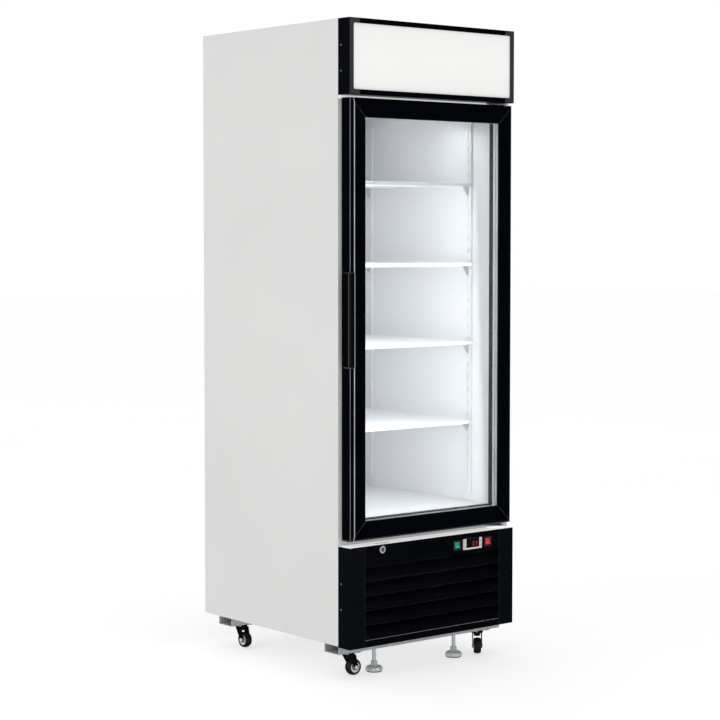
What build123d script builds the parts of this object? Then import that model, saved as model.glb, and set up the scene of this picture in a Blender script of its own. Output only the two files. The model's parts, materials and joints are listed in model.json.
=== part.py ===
"""Glass door merchandiser: an upright display refrigerator with a lit canopy, on casters.

Millimetres, +Z up. Origin on the floor under the middle of the cabinet; the door faces -Y
and its hinges are on the +X side.
"""

import os
from math import cos, radians, sin

from build123d import *

os.makedirs("parts", exist_ok=True)

# ---------------------------------------------------------------- driving dimensions
half_width = 330.0  # cabinet half width, X
front_face = -370.0  # canopy and lower panel front, Y
cabinet_face = -316.0  # face that the door seals against, Y
cabinet_back = 370.0
cabinet_top = 1950.0
casing_bottom = 103.0
casing_sheet = 1.2
black_sheet = 1.5  # canopy housing and lower panel
proud = 3.0  # how far controls and rear louvres stand out of their panels

inside_half_width = 285.0
inside_floor = 475.0
inside_ceiling = 1885.0
inside_back = 310.0
product_top = 1690.0  # top of the product opening
liner_sheet = 1.5
liner_front = -300.0
breaker_width = 18.0

machine_ceiling = 430.0  # underside of the insulated box

canopy_bottom = 1728.0
canopy_half_width = 329.0
lower_panel_bottom = 100.0
lower_panel_top = 401.0

door_left = -320.5
door_right = 328.0
door_bottom = 418.0
door_top = 1720.0
door_front = -364.0
door_back = -321.5
door_frame_width = 55.0
pane = 4.0
pane_gap = 9.0
pane_bite = 12.0  # how far the panes reach into the frame

hinge_x = 314.0
hinge_y = -343.0
hinge_pin_radius = 4.0
running_clearance = 0.05

shelf_levels = [732.0, 982.0, 1229.0, 1479.0]
pilaster_rows = [-213.0, 276.0]

caster_x = 262.0
caster_front_y = -280.0
caster_rear_y = 264.0
wheel_radius = 25.0
caster_trail = 18.0
channel_bottom = 76.0
foot_x = 162.0


def save(piece, name):
    """Label a finished piece and write it to its own file."""
    piece.part.label = name
    export_step(piece.part, f"parts/{name}.step")


def block(low, high, mode=Mode.ADD):
    """Add or cut a box between two opposite corners in the part being built."""
    size = [b - a for a, b in zip(low, high)]
    centre = [(a + b) / 2 for a, b in zip(low, high)]
    with Locations(tuple(centre)):
        Box(*size, mode=mode)


def facing_front(x, y, z):
    """Plane on a front panel: local x to the right, local y up, normal out towards -Y."""
    return Plane(origin=(x, y, z), x_dir=(1, 0, 0), z_dir=(0, -1, 0))


def level(x, y, z):
    """Horizontal plane with its normal up."""
    return Plane(origin=(x, y, z), x_dir=(1, 0, 0), z_dir=(0, 0, 1))


def side_section(x):
    """Vertical plane across the cabinet: local x along +Y, local y up, normal +X."""
    return Plane(origin=(x, 0, 0), x_dir=(0, 1, 0), z_dir=(1, 0, 0))


# ---------------------------------------------------------------- cabinet shell
skin = half_width - casing_sheet
breaker_outer = inside_half_width + breaker_width
breaker_bottom = inside_floor - breaker_width
breaker_top = product_top + breaker_width
machine_opening_half_width = 300.0
machine_opening_bottom = 130.0
machine_opening_top = 360.0

with BuildPart() as outer_casing:
    block((-half_width, cabinet_face, casing_bottom), (half_width, cabinet_back, cabinet_top))
    fillet(outer_casing.edges().filter_by(Axis.Z), radius=1.0)
    block(
        (-skin, cabinet_face + casing_sheet, casing_bottom - 1),
        (skin, cabinet_back + 1, cabinet_top - casing_sheet),
        Mode.SUBTRACT,
    )
    block(
        (-breaker_outer, cabinet_face - 1, breaker_bottom),
        (breaker_outer, cabinet_face + 2 * casing_sheet, breaker_top),
        Mode.SUBTRACT,
    )
    block(
        (-machine_opening_half_width, cabinet_face - 1, machine_opening_bottom),
        (machine_opening_half_width, cabinet_face + 2 * casing_sheet, machine_opening_top),
        Mode.SUBTRACT,
    )
save(outer_casing, "outer_casing")

with BuildPart() as back_panel:
    block(
        (-skin, cabinet_back - casing_sheet, machine_ceiling),
        (skin, cabinet_back, cabinet_top - casing_sheet),
    )
save(back_panel, "back_panel")

liner_outer = inside_half_width + liner_sheet

with BuildPart() as inner_liner:
    block(
        (-liner_outer, liner_front, inside_floor - liner_sheet),
        (liner_outer, inside_back + liner_sheet, inside_ceiling + liner_sheet),
    )
    block(
        (-inside_half_width, liner_front + liner_sheet, inside_floor),
        (inside_half_width, inside_back, inside_ceiling),
        Mode.SUBTRACT,
    )
    block(
        (-inside_half_width, liner_front - 1, inside_floor),
        (inside_half_width, liner_front + 2 * liner_sheet, product_top),
        Mode.SUBTRACT,
    )
save(inner_liner, "inner_liner")

with BuildPart() as insulation:
    block(
        (-skin, cabinet_face + casing_sheet, machine_ceiling),
        (skin, cabinet_back - casing_sheet, cabinet_top - casing_sheet),
    )
    block(
        (-liner_outer, liner_front, inside_floor - liner_sheet),
        (liner_outer, inside_back + liner_sheet, inside_ceiling + liner_sheet),
        Mode.SUBTRACT,
    )
    block(
        (-breaker_outer, cabinet_face, breaker_bottom),
        (breaker_outer, liner_front, breaker_top),
        Mode.SUBTRACT,
    )
save(insulation, "insulation")

with BuildPart() as breaker_frame:
    block(
        (-breaker_outer, cabinet_face, breaker_bottom),
        (breaker_outer, liner_front, breaker_top),
    )
    block(
        (-inside_half_width, cabinet_face - 1, inside_floor),
        (inside_half_width, liner_front + 1, product_top),
        Mode.SUBTRACT,
    )
save(breaker_frame, "breaker_frame")

with BuildPart() as base_pan:
    block(
        (-skin, cabinet_face + casing_sheet, casing_bottom),
        (skin, cabinet_back - casing_sheet, casing_bottom + black_sheet),
    )
save(base_pan, "base_pan")

# ---------------------------------------------------------------- base channels
channel_half_length = 326.0
channel_width = 68.0
channel_wall = 2.0
foot_rod_radius = 6.0

with BuildPart() as base_channels:
    for channel_y in (caster_front_y, caster_rear_y):
        with BuildSketch(side_section(-channel_half_length)):
            with Locations((channel_y, (channel_bottom + casing_bottom) / 2)):
                Rectangle(channel_width, casing_bottom - channel_bottom)
                Rectangle(
                    channel_width - 2 * channel_wall,
                    casing_bottom - channel_bottom - 2 * channel_wall,
                    mode=Mode.SUBTRACT,
                )
        extrude(amount=2 * channel_half_length)
    for foot_side in (-1, 1):
        with BuildSketch(level(foot_side * foot_x, caster_front_y, channel_bottom)):
            Circle(foot_rod_radius + running_clearance)
        extrude(amount=channel_wall, mode=Mode.SUBTRACT)
save(base_channels, "base_channels")

# ---------------------------------------------------------------- lit header canopy
canopy_back = cabinet_face
canopy_frame_depth = 18.0
canopy_rail = 15.0  # height of the top and bottom rails, width of the end frames' uprights
canopy_arm = 38.0  # length of the end frames' arms along the rails
panel_recess = 5.0
panel_thickness = 3.0
canopy_frame_back = front_face + canopy_frame_depth
bracket_left = 262.0
bracket_right = 324.0
bracket_flange = 3.0

with BuildPart() as canopy_housing:
    block(
        (-canopy_half_width, front_face + 2, canopy_bottom),
        (canopy_half_width, canopy_back, cabinet_top),
    )
    block(
        (-canopy_half_width + black_sheet, front_face + 1, canopy_bottom + black_sheet),
        (canopy_half_width - black_sheet, canopy_back - black_sheet, cabinet_top - black_sheet),
        Mode.SUBTRACT,
    )
    block(
        (bracket_left - 2, canopy_back - bracket_flange - 2, canopy_bottom - 1),
        (bracket_right + 2, canopy_back + 1, canopy_bottom + 40),
        Mode.SUBTRACT,
    )
save(canopy_housing, "canopy_housing")

rail_half_length = canopy_half_width - canopy_arm
frame_bottom = canopy_bottom + black_sheet
frame_top = cabinet_top - black_sheet
frame_side = canopy_half_width - black_sheet
rail_lip = canopy_rail - black_sheet

with BuildPart() as canopy_rails:
    for rail_z in (frame_bottom, frame_top - rail_lip):
        block(
            (-rail_half_length, front_face, rail_z),
            (rail_half_length, canopy_frame_back, rail_z + rail_lip),
        )
    front_edges = canopy_rails.edges().filter_by(Axis.X).group_by(Axis.Y)[0]
    fillet(front_edges, radius=1.5)
save(canopy_rails, "canopy_rails")

with BuildPart() as canopy_end_frames:
    for end_side in (-1, 1):
        outer_x = end_side * frame_side
        arm_x = end_side * rail_half_length
        upright_x = end_side * (frame_side - rail_lip)
        block(
            (min(outer_x, arm_x), front_face, frame_bottom),
            (max(outer_x, arm_x), canopy_frame_back, frame_top),
        )
        block(
            (min(upright_x, arm_x), front_face - 1, frame_bottom + rail_lip),
            (max(upright_x, arm_x), canopy_frame_back + 1, frame_top - rail_lip),
            Mode.SUBTRACT,
        )
    corner_edges = canopy_end_frames.edges().filter_by(Axis.Y)
    inner_corners = [
        edge
        for edge in corner_edges
        if abs(abs(edge.center().X) - (frame_side - rail_lip)) < 0.1
    ]
    fillet(inner_corners, radius=5.0)
save(canopy_end_frames, "canopy_end_frames")

panel_half_width = frame_side - rail_lip
panel_front = front_face + panel_recess

with BuildPart() as canopy_panel:
    with BuildSketch(facing_front(0, panel_front, (frame_bottom + frame_top) / 2)):
        RectangleRounded(
            2 * panel_half_width, frame_top - frame_bottom - 2 * rail_lip, radius=5.0
        )
    extrude(amount=-panel_thickness)
save(canopy_panel, "canopy_panel")

lamp_half_length = 290.0
lamp_z = (canopy_bottom + cabinet_top) / 2
tube_radius = 8.0

with BuildPart() as canopy_lamp:
    block(
        (-lamp_half_length, canopy_back - black_sheet - 10, lamp_z - 14),
        (lamp_half_length, canopy_back - black_sheet, lamp_z + 14),
    )
    with BuildSketch(
        Plane(
            origin=(-lamp_half_length, canopy_back - 18, lamp_z),
            x_dir=(0, 1, 0),
            z_dir=(1, 0, 0),
        )
    ):
        Circle(tube_radius)
    extrude(amount=2 * lamp_half_length)
save(canopy_lamp, "canopy_lamp")

# ---------------------------------------------------------------- lower panel and louvre
louvre_half_width = 270.0
louvre_bottom = 120.0
louvre_top = 340.5
slat_count = 5
louvre_wall_depth = 32.0
panel_return = 30.0
seam_width = 0.8
seam_depth = 0.6

lock_x = -204.0
lock_z = 386.0
lock_barrel_radius = 9.0
lock_lever_reach = 42.0
lock_lever_y = front_face + 24.0
lock_lever_thickness = 2.5
controls_z = 368.0
power_switch_x = 95.0
lamp_switch_x = 222.5
switch_width = 25.0
switch_height = 25.0
controller_x = 157.5
controller_width = 72.0
controller_height = 29.0

with BuildPart() as lower_panel:
    block(
        (-half_width, front_face, lower_panel_bottom),
        (half_width, cabinet_face, lower_panel_top),
    )
    block(
        (-half_width + black_sheet, front_face + black_sheet, lower_panel_bottom + black_sheet),
        (half_width - black_sheet, cabinet_face + 1, lower_panel_top - black_sheet),
        Mode.SUBTRACT,
    )
    for return_low, return_high in (
        (lower_panel_bottom - 1, lower_panel_bottom + 2 * black_sheet),
        (lower_panel_top - 2 * black_sheet, lower_panel_top + 1),
    ):
        block(
            (-half_width + black_sheet, front_face + panel_return, return_low),
            (half_width - black_sheet, cabinet_face + 1, return_high),
            Mode.SUBTRACT,
        )
    # louvre opening with a turned-in wall at each end
    for wall_side in (-1, 1):
        wall_in = wall_side * louvre_half_width
        wall_out = wall_side * (louvre_half_width + black_sheet)
        block(
            (min(wall_in, wall_out), front_face + black_sheet / 2, louvre_bottom),
            (max(wall_in, wall_out), front_face + louvre_wall_depth, louvre_top),
        )
    block(
        (-louvre_half_width, front_face - 1, louvre_bottom),
        (louvre_half_width, front_face + 2 * black_sheet, louvre_top),
        Mode.SUBTRACT,
    )
    # seams between the end columns and the centre
    for seam_side in (-1, 1):
        for seam_low, seam_high in (
            (lower_panel_bottom - 1, louvre_bottom),
            (louvre_top, lower_panel_top + 1),
        ):
            seam_x = seam_side * louvre_half_width
            block(
                (seam_x - seam_width / 2, front_face - 1, seam_low),
                (seam_x + seam_width / 2, front_face + seam_depth, seam_high),
                Mode.SUBTRACT,
            )
    with BuildSketch(facing_front(0, front_face, 0)):
        with Locations((lock_x, lock_z)):
            Circle(lock_barrel_radius)
        with Locations((power_switch_x, controls_z), (lamp_switch_x, controls_z)):
            Rectangle(switch_width, switch_height)
        with Locations((controller_x, controls_z)):
            Rectangle(controller_width, controller_height)
    extrude(amount=-2 * black_sheet, mode=Mode.SUBTRACT)
    # slot in the top return for the lock lever
    block(
        (lock_x - 8, lock_lever_y - 2, lower_panel_top - 2 * black_sheet),
        (lock_x + lock_lever_reach + 4, lock_lever_y + lock_lever_thickness + 2, lower_panel_top + 1),
        Mode.SUBTRACT,
    )
save(lower_panel, "lower_panel")

slat_pitch = (louvre_top - louvre_bottom) / slat_count
slat_depth = 25.0
slat_sheet = 1.6
slat_front = front_face + 1.0

with BuildPart() as louvre_slats:
    for slat in range(slat_count):
        slat_bottom = louvre_bottom + slat * slat_pitch
        slat_top = slat_bottom + slat_pitch - 2
        with BuildSketch(side_section(-louvre_half_width)):
            with BuildLine():
                outer_arc = TangentArc(
                    (slat_front, slat_bottom + 1),
                    (slat_front + slat_depth, slat_top),
                    tangent=(0, 1),
                )
                inner_arc = TangentArc(
                    (slat_front + slat_sheet, slat_bottom + 1),
                    (slat_front + slat_depth, slat_top - slat_sheet),
                    tangent=(0, 1),
                )
                Line(outer_arc @ 0, inner_arc @ 0)
                Line(outer_arc @ 1, inner_arc @ 1)
            make_face()
        extrude(amount=2 * louvre_half_width)
save(louvre_slats, "louvre_slats")

# ---------------------------------------------------------------- lock
with BuildPart() as lock_housing:
    with BuildSketch(facing_front(lock_x, front_face, lock_z)):
        Circle(lock_barrel_radius + 2)
        Circle(lock_barrel_radius - 2, mode=Mode.SUBTRACT)
    extrude(amount=1.5)
    chamfer(lock_housing.edges().group_by(Axis.Y)[0].sort_by(SortBy.LENGTH)[-1], length=0.8)
    with BuildSketch(facing_front(lock_x, front_face, lock_z)):
        Circle(lock_barrel_radius)
        Circle(lock_barrel_radius - 2, mode=Mode.SUBTRACT)
    extrude(amount=-20)
save(lock_housing, "lock_housing")

lock_core_radius = lock_barrel_radius - 2 - running_clearance
keyway_width = 1.8
keyway_height = 8.0

with BuildPart() as lock_cylinder:
    with BuildSketch(facing_front(lock_x, front_face - 1.2, lock_z)):
        Circle(lock_core_radius)
    extrude(amount=-(lock_lever_y - front_face + 1.2))
    with BuildSketch(facing_front(lock_x, front_face - 1.2, lock_z)):
        Rectangle(keyway_height, keyway_width)
    extrude(amount=-3, mode=Mode.SUBTRACT)
    with BuildSketch(facing_front(lock_x, lock_lever_y, lock_z)):
        with Locations((lock_lever_reach / 2 - 3, 0)):
            SlotOverall(lock_lever_reach + 6, 12)
    extrude(amount=-lock_lever_thickness)
save(lock_cylinder, "lock_cylinder")

# ---------------------------------------------------------------- switches
switch_flange = 2.5
switch_wall = 1.6
switch_depth = 18.0
rocker_gap = 0.4
rocker_half_height = switch_height / 2 - switch_wall - rocker_gap - 0.4
rocker_half_width = switch_width / 2 - switch_wall - rocker_gap
rocker_tilt = 8.0
rocker_pivot_y = front_face + 4.0
rocker_face = 5.2  # raised ends of the key's face, measured out from the pivot
rocker_trough = 3.4
rocker_tail = 6.0
rocker_tail_half_height = 5.0
stud_radius = 1.2
stud_length = 2.0

with BuildPart() as switch_housings:
    for switch_x in (power_switch_x, lamp_switch_x):
        with BuildSketch(facing_front(switch_x, front_face, controls_z)):
            RectangleRounded(
                switch_width + 2 * switch_flange, switch_height + 2 * switch_flange, radius=1.5
            )
        extrude(amount=1.5)
        with BuildSketch(facing_front(switch_x, front_face, controls_z)):
            Rectangle(switch_width, switch_height)
        extrude(amount=-switch_depth)
        with BuildSketch(facing_front(switch_x, front_face - 2, controls_z)):
            Rectangle(switch_width - 2 * switch_wall, switch_height - 2 * switch_wall)
        extrude(amount=-(switch_depth + 2 - switch_wall), mode=Mode.SUBTRACT)
        # pivot studs that the rocker turns on
        for stud_side in (-1, 1):
            stud_x = switch_x + stud_side * (switch_width / 2 - switch_wall)
            with BuildSketch(
                Plane(
                    origin=(stud_x, rocker_pivot_y, controls_z),
                    x_dir=(0, 1, 0),
                    z_dir=(-stud_side, 0, 0),
                )
            ):
                Circle(stud_radius)
            extrude(amount=stud_length)
save(switch_housings, "switch_housings")


def make_rocker(switch_x, name):
    """Rocker key with a shallow V face, resting with its upper half pressed in."""
    tilt = radians(rocker_tilt)
    section = Plane(
        origin=(switch_x - rocker_half_width, rocker_pivot_y, controls_z),
        x_dir=(0, -cos(tilt), sin(tilt)),
        z_dir=(-1, 0, 0),
    )
    with BuildPart() as rocker:
        with BuildSketch(section):
            Polygon(
                (rocker_face, rocker_half_height - 0.6),
                (rocker_trough, 0),
                (rocker_face, -rocker_half_height + 0.6),
                (-1, -rocker_half_height + 1.2),
                (-rocker_tail, -rocker_tail_half_height),
                (-rocker_tail, rocker_tail_half_height),
                (-1, rocker_half_height - 1.2),
                align=None,
            )
            Circle(stud_radius + running_clearance, mode=Mode.SUBTRACT)
        extrude(amount=-2 * rocker_half_width)
    save(rocker, name)


make_rocker(power_switch_x, "power_rocker")
make_rocker(lamp_switch_x, "lamp_rocker")

# ---------------------------------------------------------------- controller
bezel_width = 78.0
bezel_height = 34.0
bezel_foot = 5.5  # bar below the window, which is open at the top edge
window_width = 54.0
window_height = bezel_height - bezel_foot
window_offset = bezel_foot / 2
button_width = 8.0
button_height = 9.0
button_gap = 0.25
button_x_offset = (bezel_width + window_width) / 4
button_z_offset = 6.8
controller_depth = 30.0
bezel_face = front_face - proud

with BuildPart() as controller_bezel:
    with BuildSketch(facing_front(controller_x, front_face, controls_z)):
        RectangleRounded(bezel_width, bezel_height, radius=2.5)
    extrude(amount=proud)
    fillet(controller_bezel.faces().sort_by(Axis.Y)[0].edges(), radius=1.0)
    with BuildSketch(facing_front(controller_x, front_face, controls_z)):
        Rectangle(controller_width, controller_height)
    extrude(amount=-controller_depth)
    with BuildSketch(facing_front(controller_x, bezel_face - 1, controls_z)):
        with Locations((0, window_offset + 0.5)):
            Rectangle(window_width, window_height + 1)
    extrude(amount=-3, mode=Mode.SUBTRACT)
    with BuildSketch(facing_front(controller_x, bezel_face - 1, controls_z)):
        for button_side in (-1, 1):
            for button_row in (-1, 1):
                with Locations((button_side * button_x_offset, button_row * button_z_offset)):
                    Rectangle(button_width + 2 * button_gap, button_height + 2 * button_gap)
    extrude(amount=-9, mode=Mode.SUBTRACT)
save(controller_bezel, "controller_bezel")

with BuildPart() as controller_display:
    with BuildSketch(facing_front(controller_x, bezel_face + 2, controls_z)):
        with Locations((0, window_offset)):
            Rectangle(window_width, window_height)
    extrude(amount=1.6)
save(controller_display, "controller_display")


def make_button(button_side, button_row, name):
    """Controller key: a flat cap on a stem, standing a little out of the bezel."""
    key = facing_front(
        controller_x + button_side * button_x_offset,
        bezel_face + 0.9,
        controls_z + button_row * button_z_offset,
    )
    with BuildPart() as button:
        with BuildSketch(key):
            RectangleRounded(button_width, button_height, radius=1.2)
        extrude(amount=0.7)
        fillet(button.faces().sort_by(Axis.Y)[0].edges(), radius=0.4)
        with BuildSketch(key):
            Rectangle(button_width - 2, button_height - 2)
        extrude(amount=-4)
    save(button, name)


make_button(-1, 1, "button_set")
make_button(-1, -1, "button_defrost")
make_button(1, 1, "button_up")
make_button(1, -1, "button_down")

# ---------------------------------------------------------------- inside fittings
pilaster_width = 24.0
pilaster_depth = 9.0
pilaster_sheet = 1.5
pilaster_bottom = 500.0
pilaster_top = 1680.0
slot_pitch = 40.0
slot_width = 4.0
slot_height = 14.0
slots_per_pilaster = 28

with BuildPart() as pilasters:
    for wall_side in (-1, 1):
        for row_y in pilaster_rows:
            wall_x = wall_side * inside_half_width
            face_x = wall_side * (inside_half_width - pilaster_depth)
            block(
                (min(wall_x, face_x), row_y - pilaster_width / 2, pilaster_bottom),
                (max(wall_x, face_x), row_y + pilaster_width / 2, pilaster_top),
            )
            hollow_x = wall_side * (inside_half_width - pilaster_depth + pilaster_sheet)
            block(
                (
                    min(wall_x, hollow_x),
                    row_y - pilaster_width / 2 + pilaster_sheet,
                    pilaster_bottom - 1,
                ),
                (
                    max(wall_x, hollow_x),
                    row_y + pilaster_width / 2 - pilaster_sheet,
                    pilaster_top + 1,
                ),
                Mode.SUBTRACT,
            )
            slot_plane = Plane(
                origin=(face_x, row_y, (pilaster_bottom + pilaster_top) / 2),
                x_dir=(0, 1, 0),
                z_dir=(wall_side, 0, 0),
            )
            with BuildSketch(slot_plane):
                with GridLocations(1, slot_pitch, 1, slots_per_pilaster):
                    Rectangle(slot_width, slot_height)
            extrude(amount=pilaster_sheet, mode=Mode.SUBTRACT)
save(pilasters, "pilasters")

shelf_wire = 4.0
shelf_rod = 6.0
shelf_half_width = 268.0
shelf_front = -243.0
shelf_rear = 296.0
shelf_wire_count = 45
band_front = shelf_front - 3.0
band_drop = 7.0
band_overhang = 1.0  # above the rods and past their ends
shelf_rows = [-60.0, 120.0, shelf_rear]
clip_height = 30.0
clip_length = 22.0
clip_sheet = 2.0
clip_lip = 5.0
clip_face = inside_half_width - pilaster_depth

with BuildPart() as shelf_clips:
    for shelf_z in shelf_levels:
        for row_y in pilaster_rows:
            for wall_side in (-1, 1):
                clip_plane = Plane(
                    origin=(wall_side * clip_face, row_y + clip_sheet / 2, shelf_z - shelf_rod),
                    x_dir=(-wall_side, 0, 0),
                    z_dir=(0, -1, 0) if wall_side < 0 else (0, 1, 0),
                )
                with BuildSketch(clip_plane):
                    Polygon(
                        (0, 0),
                        (clip_length, 0),
                        (clip_length, -clip_lip),
                        (4, -clip_height),
                        (0, -clip_height),
                        align=None,
                    )
                extrude(amount=clip_sheet if wall_side < 0 else -clip_sheet)
save(shelf_clips, "shelf_clips")


def make_shelf(shelf_z, name):
    """Wire shelf: long rods with closely spaced wires laid over them, and a flat front band."""
    rod_z = shelf_z - shelf_rod / 2
    wire_z = shelf_z + shelf_wire / 2 - 0.6
    spacing = 2 * (shelf_half_width - shelf_rod) / (shelf_wire_count - 1)
    with BuildPart() as shelf:
        for rod_y in shelf_rows:
            with BuildSketch(side_section(-shelf_half_width)):
                with Locations((rod_y, rod_z)):
                    Circle(shelf_rod / 2)
            extrude(amount=2 * shelf_half_width)
        for wire in range(shelf_wire_count):
            wire_x = -shelf_half_width + shelf_rod + wire * spacing
            with BuildSketch(Plane(origin=(wire_x, band_front, wire_z), z_dir=(0, 1, 0))):
                Circle(shelf_wire / 2)
            extrude(amount=shelf_rear - band_front)
        for end_side in (-1, 1):
            end_x = end_side * (shelf_half_width - shelf_rod / 2)
            with BuildSketch(Plane(origin=(end_x, shelf_front, rod_z), z_dir=(0, 1, 0))):
                Circle(shelf_rod / 2)
            extrude(amount=shelf_rear - shelf_front)
        block(
            (-shelf_half_width - band_overhang, band_front, shelf_z - band_drop),
            (shelf_half_width + band_overhang, shelf_front, shelf_z + band_overhang),
        )
    save(shelf, name)


for shelf_number, shelf_level in enumerate(shelf_levels, start=1):
    make_shelf(shelf_level, f"shelf_{shelf_number}")

# ---------------------------------------------------------------- evaporator above the ceiling
cover_front = -285.0
cover_back = 240.0
cover_bottom = 1702.0
cover_half_width = 280.0
cover_sheet = 1.5
evaporator_fan_x = -120.0
evaporator_fan_y = -20.0
evaporator_fan_radius = 90.0
evaporator_fan_z = 1722.0
fan_shaft_radius = 4.0
fan_clearance = 8.0

with BuildPart() as evaporator_cover:
    block(
        (-cover_half_width, cover_front, cover_bottom),
        (cover_half_width, cover_back, inside_ceiling),
    )
    block(
        (-cover_half_width + cover_sheet, cover_front + cover_sheet, cover_bottom + cover_sheet),
        (cover_half_width - cover_sheet, cover_back - cover_sheet, inside_ceiling + 1),
        Mode.SUBTRACT,
    )
    with BuildSketch(level(evaporator_fan_x, evaporator_fan_y, cover_bottom)):
        Circle(evaporator_fan_radius + fan_clearance)
        Rectangle(2 * (evaporator_fan_radius + fan_clearance), 14, mode=Mode.SUBTRACT)
    extrude(amount=cover_sheet, mode=Mode.SUBTRACT)
    with BuildSketch(level(evaporator_fan_x, evaporator_fan_y, cover_bottom)):
        Circle(fan_shaft_radius)
    extrude(amount=evaporator_fan_z + 22 - cover_bottom)
    # return-air slots along the rear of the underside
    with BuildSketch(level(0, cover_back - 60, cover_bottom)):
        with GridLocations(30, 1, 15, 1):
            SlotOverall(70, 8, rotation=90)
    extrude(amount=cover_sheet, mode=Mode.SUBTRACT)
save(evaporator_cover, "evaporator_cover")


def make_fan(plane, blade_radius, hub_radius, hub_height, name):
    """Axial fan with an external-rotor hub turning on a fixed shaft along the plane's normal."""
    blade_count = 5
    blade_pitch = 32.0
    with BuildPart() as fan:
        with BuildSketch(plane):
            Circle(hub_radius)
        extrude(amount=hub_height)
        for blade in range(blade_count):
            turn = radians(360.0 * blade / blade_count)
            outward = plane.x_dir * cos(turn) + plane.y_dir * sin(turn)
            across = plane.z_dir.cross(outward)
            pitched = across * cos(radians(blade_pitch)) + plane.z_dir * sin(radians(blade_pitch))
            blade_plane = Plane(
                origin=plane.origin + plane.z_dir * (hub_height / 2) + outward * (hub_radius - 2),
                x_dir=pitched,
                z_dir=outward,
            )
            with BuildSketch(blade_plane):
                Rectangle(min(hub_height * 1.4, hub_radius * 1.2), 1.8)
            extrude(amount=blade_radius - hub_radius)
        with BuildSketch(plane):
            Circle(fan_shaft_radius + running_clearance)
        extrude(amount=hub_height, mode=Mode.SUBTRACT)
    save(fan, name)


make_fan(
    level(evaporator_fan_x, evaporator_fan_y, evaporator_fan_z),
    evaporator_fan_radius,
    26.0,
    20.0,
    "evaporator_fan",
)

coil_left = 0.0
coil_right = 255.0
coil_front = -200.0
coil_rear = 120.0
coil_bottom = 1740.0
coil_top = 1860.0

with BuildPart() as evaporator_coil:
    block((coil_left, coil_front, coil_bottom), (coil_right, coil_rear, coil_top))
    with BuildSketch(level(0, 0, coil_bottom)):
        with Locations(((coil_left + coil_right) / 2, (coil_front + coil_rear) / 2)):
            with GridLocations(12, 1, 20, 1):
                Rectangle(4, coil_rear - coil_front + 2)
    extrude(amount=coil_top - coil_bottom - 8, mode=Mode.SUBTRACT)
    for tube_z in (coil_bottom + 30, coil_bottom + 75):
        with BuildSketch(side_section(coil_left - 8)):
            with Locations((coil_front + 80, tube_z), (coil_rear - 80, tube_z)):
                Circle(5)
        extrude(amount=coil_right - coil_left + 16)
    for foot_y in (coil_front + 40, coil_rear - 40):
        block((coil_left, foot_y - 10, coil_top), (coil_right, foot_y + 10, inside_ceiling))
save(evaporator_coil, "evaporator_coil")

# ---------------------------------------------------------------- machine compartment
pan_top = casing_bottom + black_sheet
compressor_x = 150.0
compressor_y = 170.0
compressor_radius = 78.0
compressor_foot = 10.0
shell_flare = 12.0  # rounding of the shell's lower edge
shell_wall_top = 110.0
shell_crown_radius = 30.0  # flat crown in the middle of the dome
shell_top = 165.0

with BuildPart() as compressor:
    with BuildSketch(level(compressor_x, compressor_y, pan_top)):
        RectangleRounded(190, 130, radius=12)
    extrude(amount=compressor_foot)
    with BuildSketch(facing_front(compressor_x, compressor_y, pan_top + compressor_foot - 1)):
        with BuildLine():
            dome_base = Line((0, 0), (compressor_radius - shell_flare, 0))
            flare = TangentArc(dome_base @ 1, (compressor_radius, shell_flare + 2), tangent=(1, 0))
            wall_line = Line(flare @ 1, (compressor_radius, shell_wall_top))
            dome = TangentArc(wall_line @ 1, (shell_crown_radius, shell_top), tangent=(0, 1))
            top_line = Line(dome @ 1, (0, shell_top))
            Line(top_line @ 1, (0, 0))
        make_face()
    revolve(axis=Axis((compressor_x, compressor_y, 0), (0, 0, 1)), revolution_arc=360)
save(compressor, "compressor")

condenser_left = -290.0
condenser_right = 60.0
condenser_front = -250.0
condenser_rear = -190.0
condenser_top = 370.0
condenser_fan_x = (condenser_left + condenser_right) / 2
condenser_fan_z = 240.0
condenser_fan_radius = 105.0
condenser_fan_y = condenser_rear + 16

with BuildPart() as condenser:
    block((condenser_left, condenser_front, pan_top), (condenser_right, condenser_rear, condenser_top))
    with BuildSketch(level(condenser_fan_x, (condenser_front + condenser_rear) / 2, pan_top + 20)):
        with GridLocations(14, 1, 24, 1):
            Rectangle(5, condenser_rear - condenser_front + 2)
    extrude(amount=condenser_top - pan_top - 32, mode=Mode.SUBTRACT)
    for tube_z in (pan_top + 70, pan_top + 140, pan_top + 210):
        with BuildSketch(side_section(condenser_left)):
            with Locations(((condenser_front + condenser_rear) / 2, tube_z)):
                Circle(5)
        extrude(amount=condenser_right - condenser_left)
    block(
        (condenser_fan_x - 14, condenser_rear - 6, pan_top + 19),
        (condenser_fan_x + 14, condenser_rear + 4, condenser_top - 11),
    )
    shaft_plane = Plane(
        origin=(condenser_fan_x, condenser_rear, condenser_fan_z), x_dir=(1, 0, 0), z_dir=(0, 1, 0)
    )
    with BuildSketch(shaft_plane):
        Circle(fan_shaft_radius)
    extrude(amount=44)
save(condenser, "condenser")

make_fan(
    Plane(origin=(condenser_fan_x, condenser_fan_y, condenser_fan_z), x_dir=(1, 0, 0), z_dir=(0, 1, 0)),
    condenser_fan_radius,
    30.0,
    24.0,
    "condenser_fan",
)

grille_rows = 12
grille_pitch = 22.0
grille_slot_height = 7.0
grille_slot_width = 250.0
grille_centre_x = (-145.0, 145.0)
grille_centre_z = (pan_top + machine_ceiling) / 2 + 10
gland_x = 270.0
gland_z = 127.0
gland_radius = 11.0
cable_radius = 4.5

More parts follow.
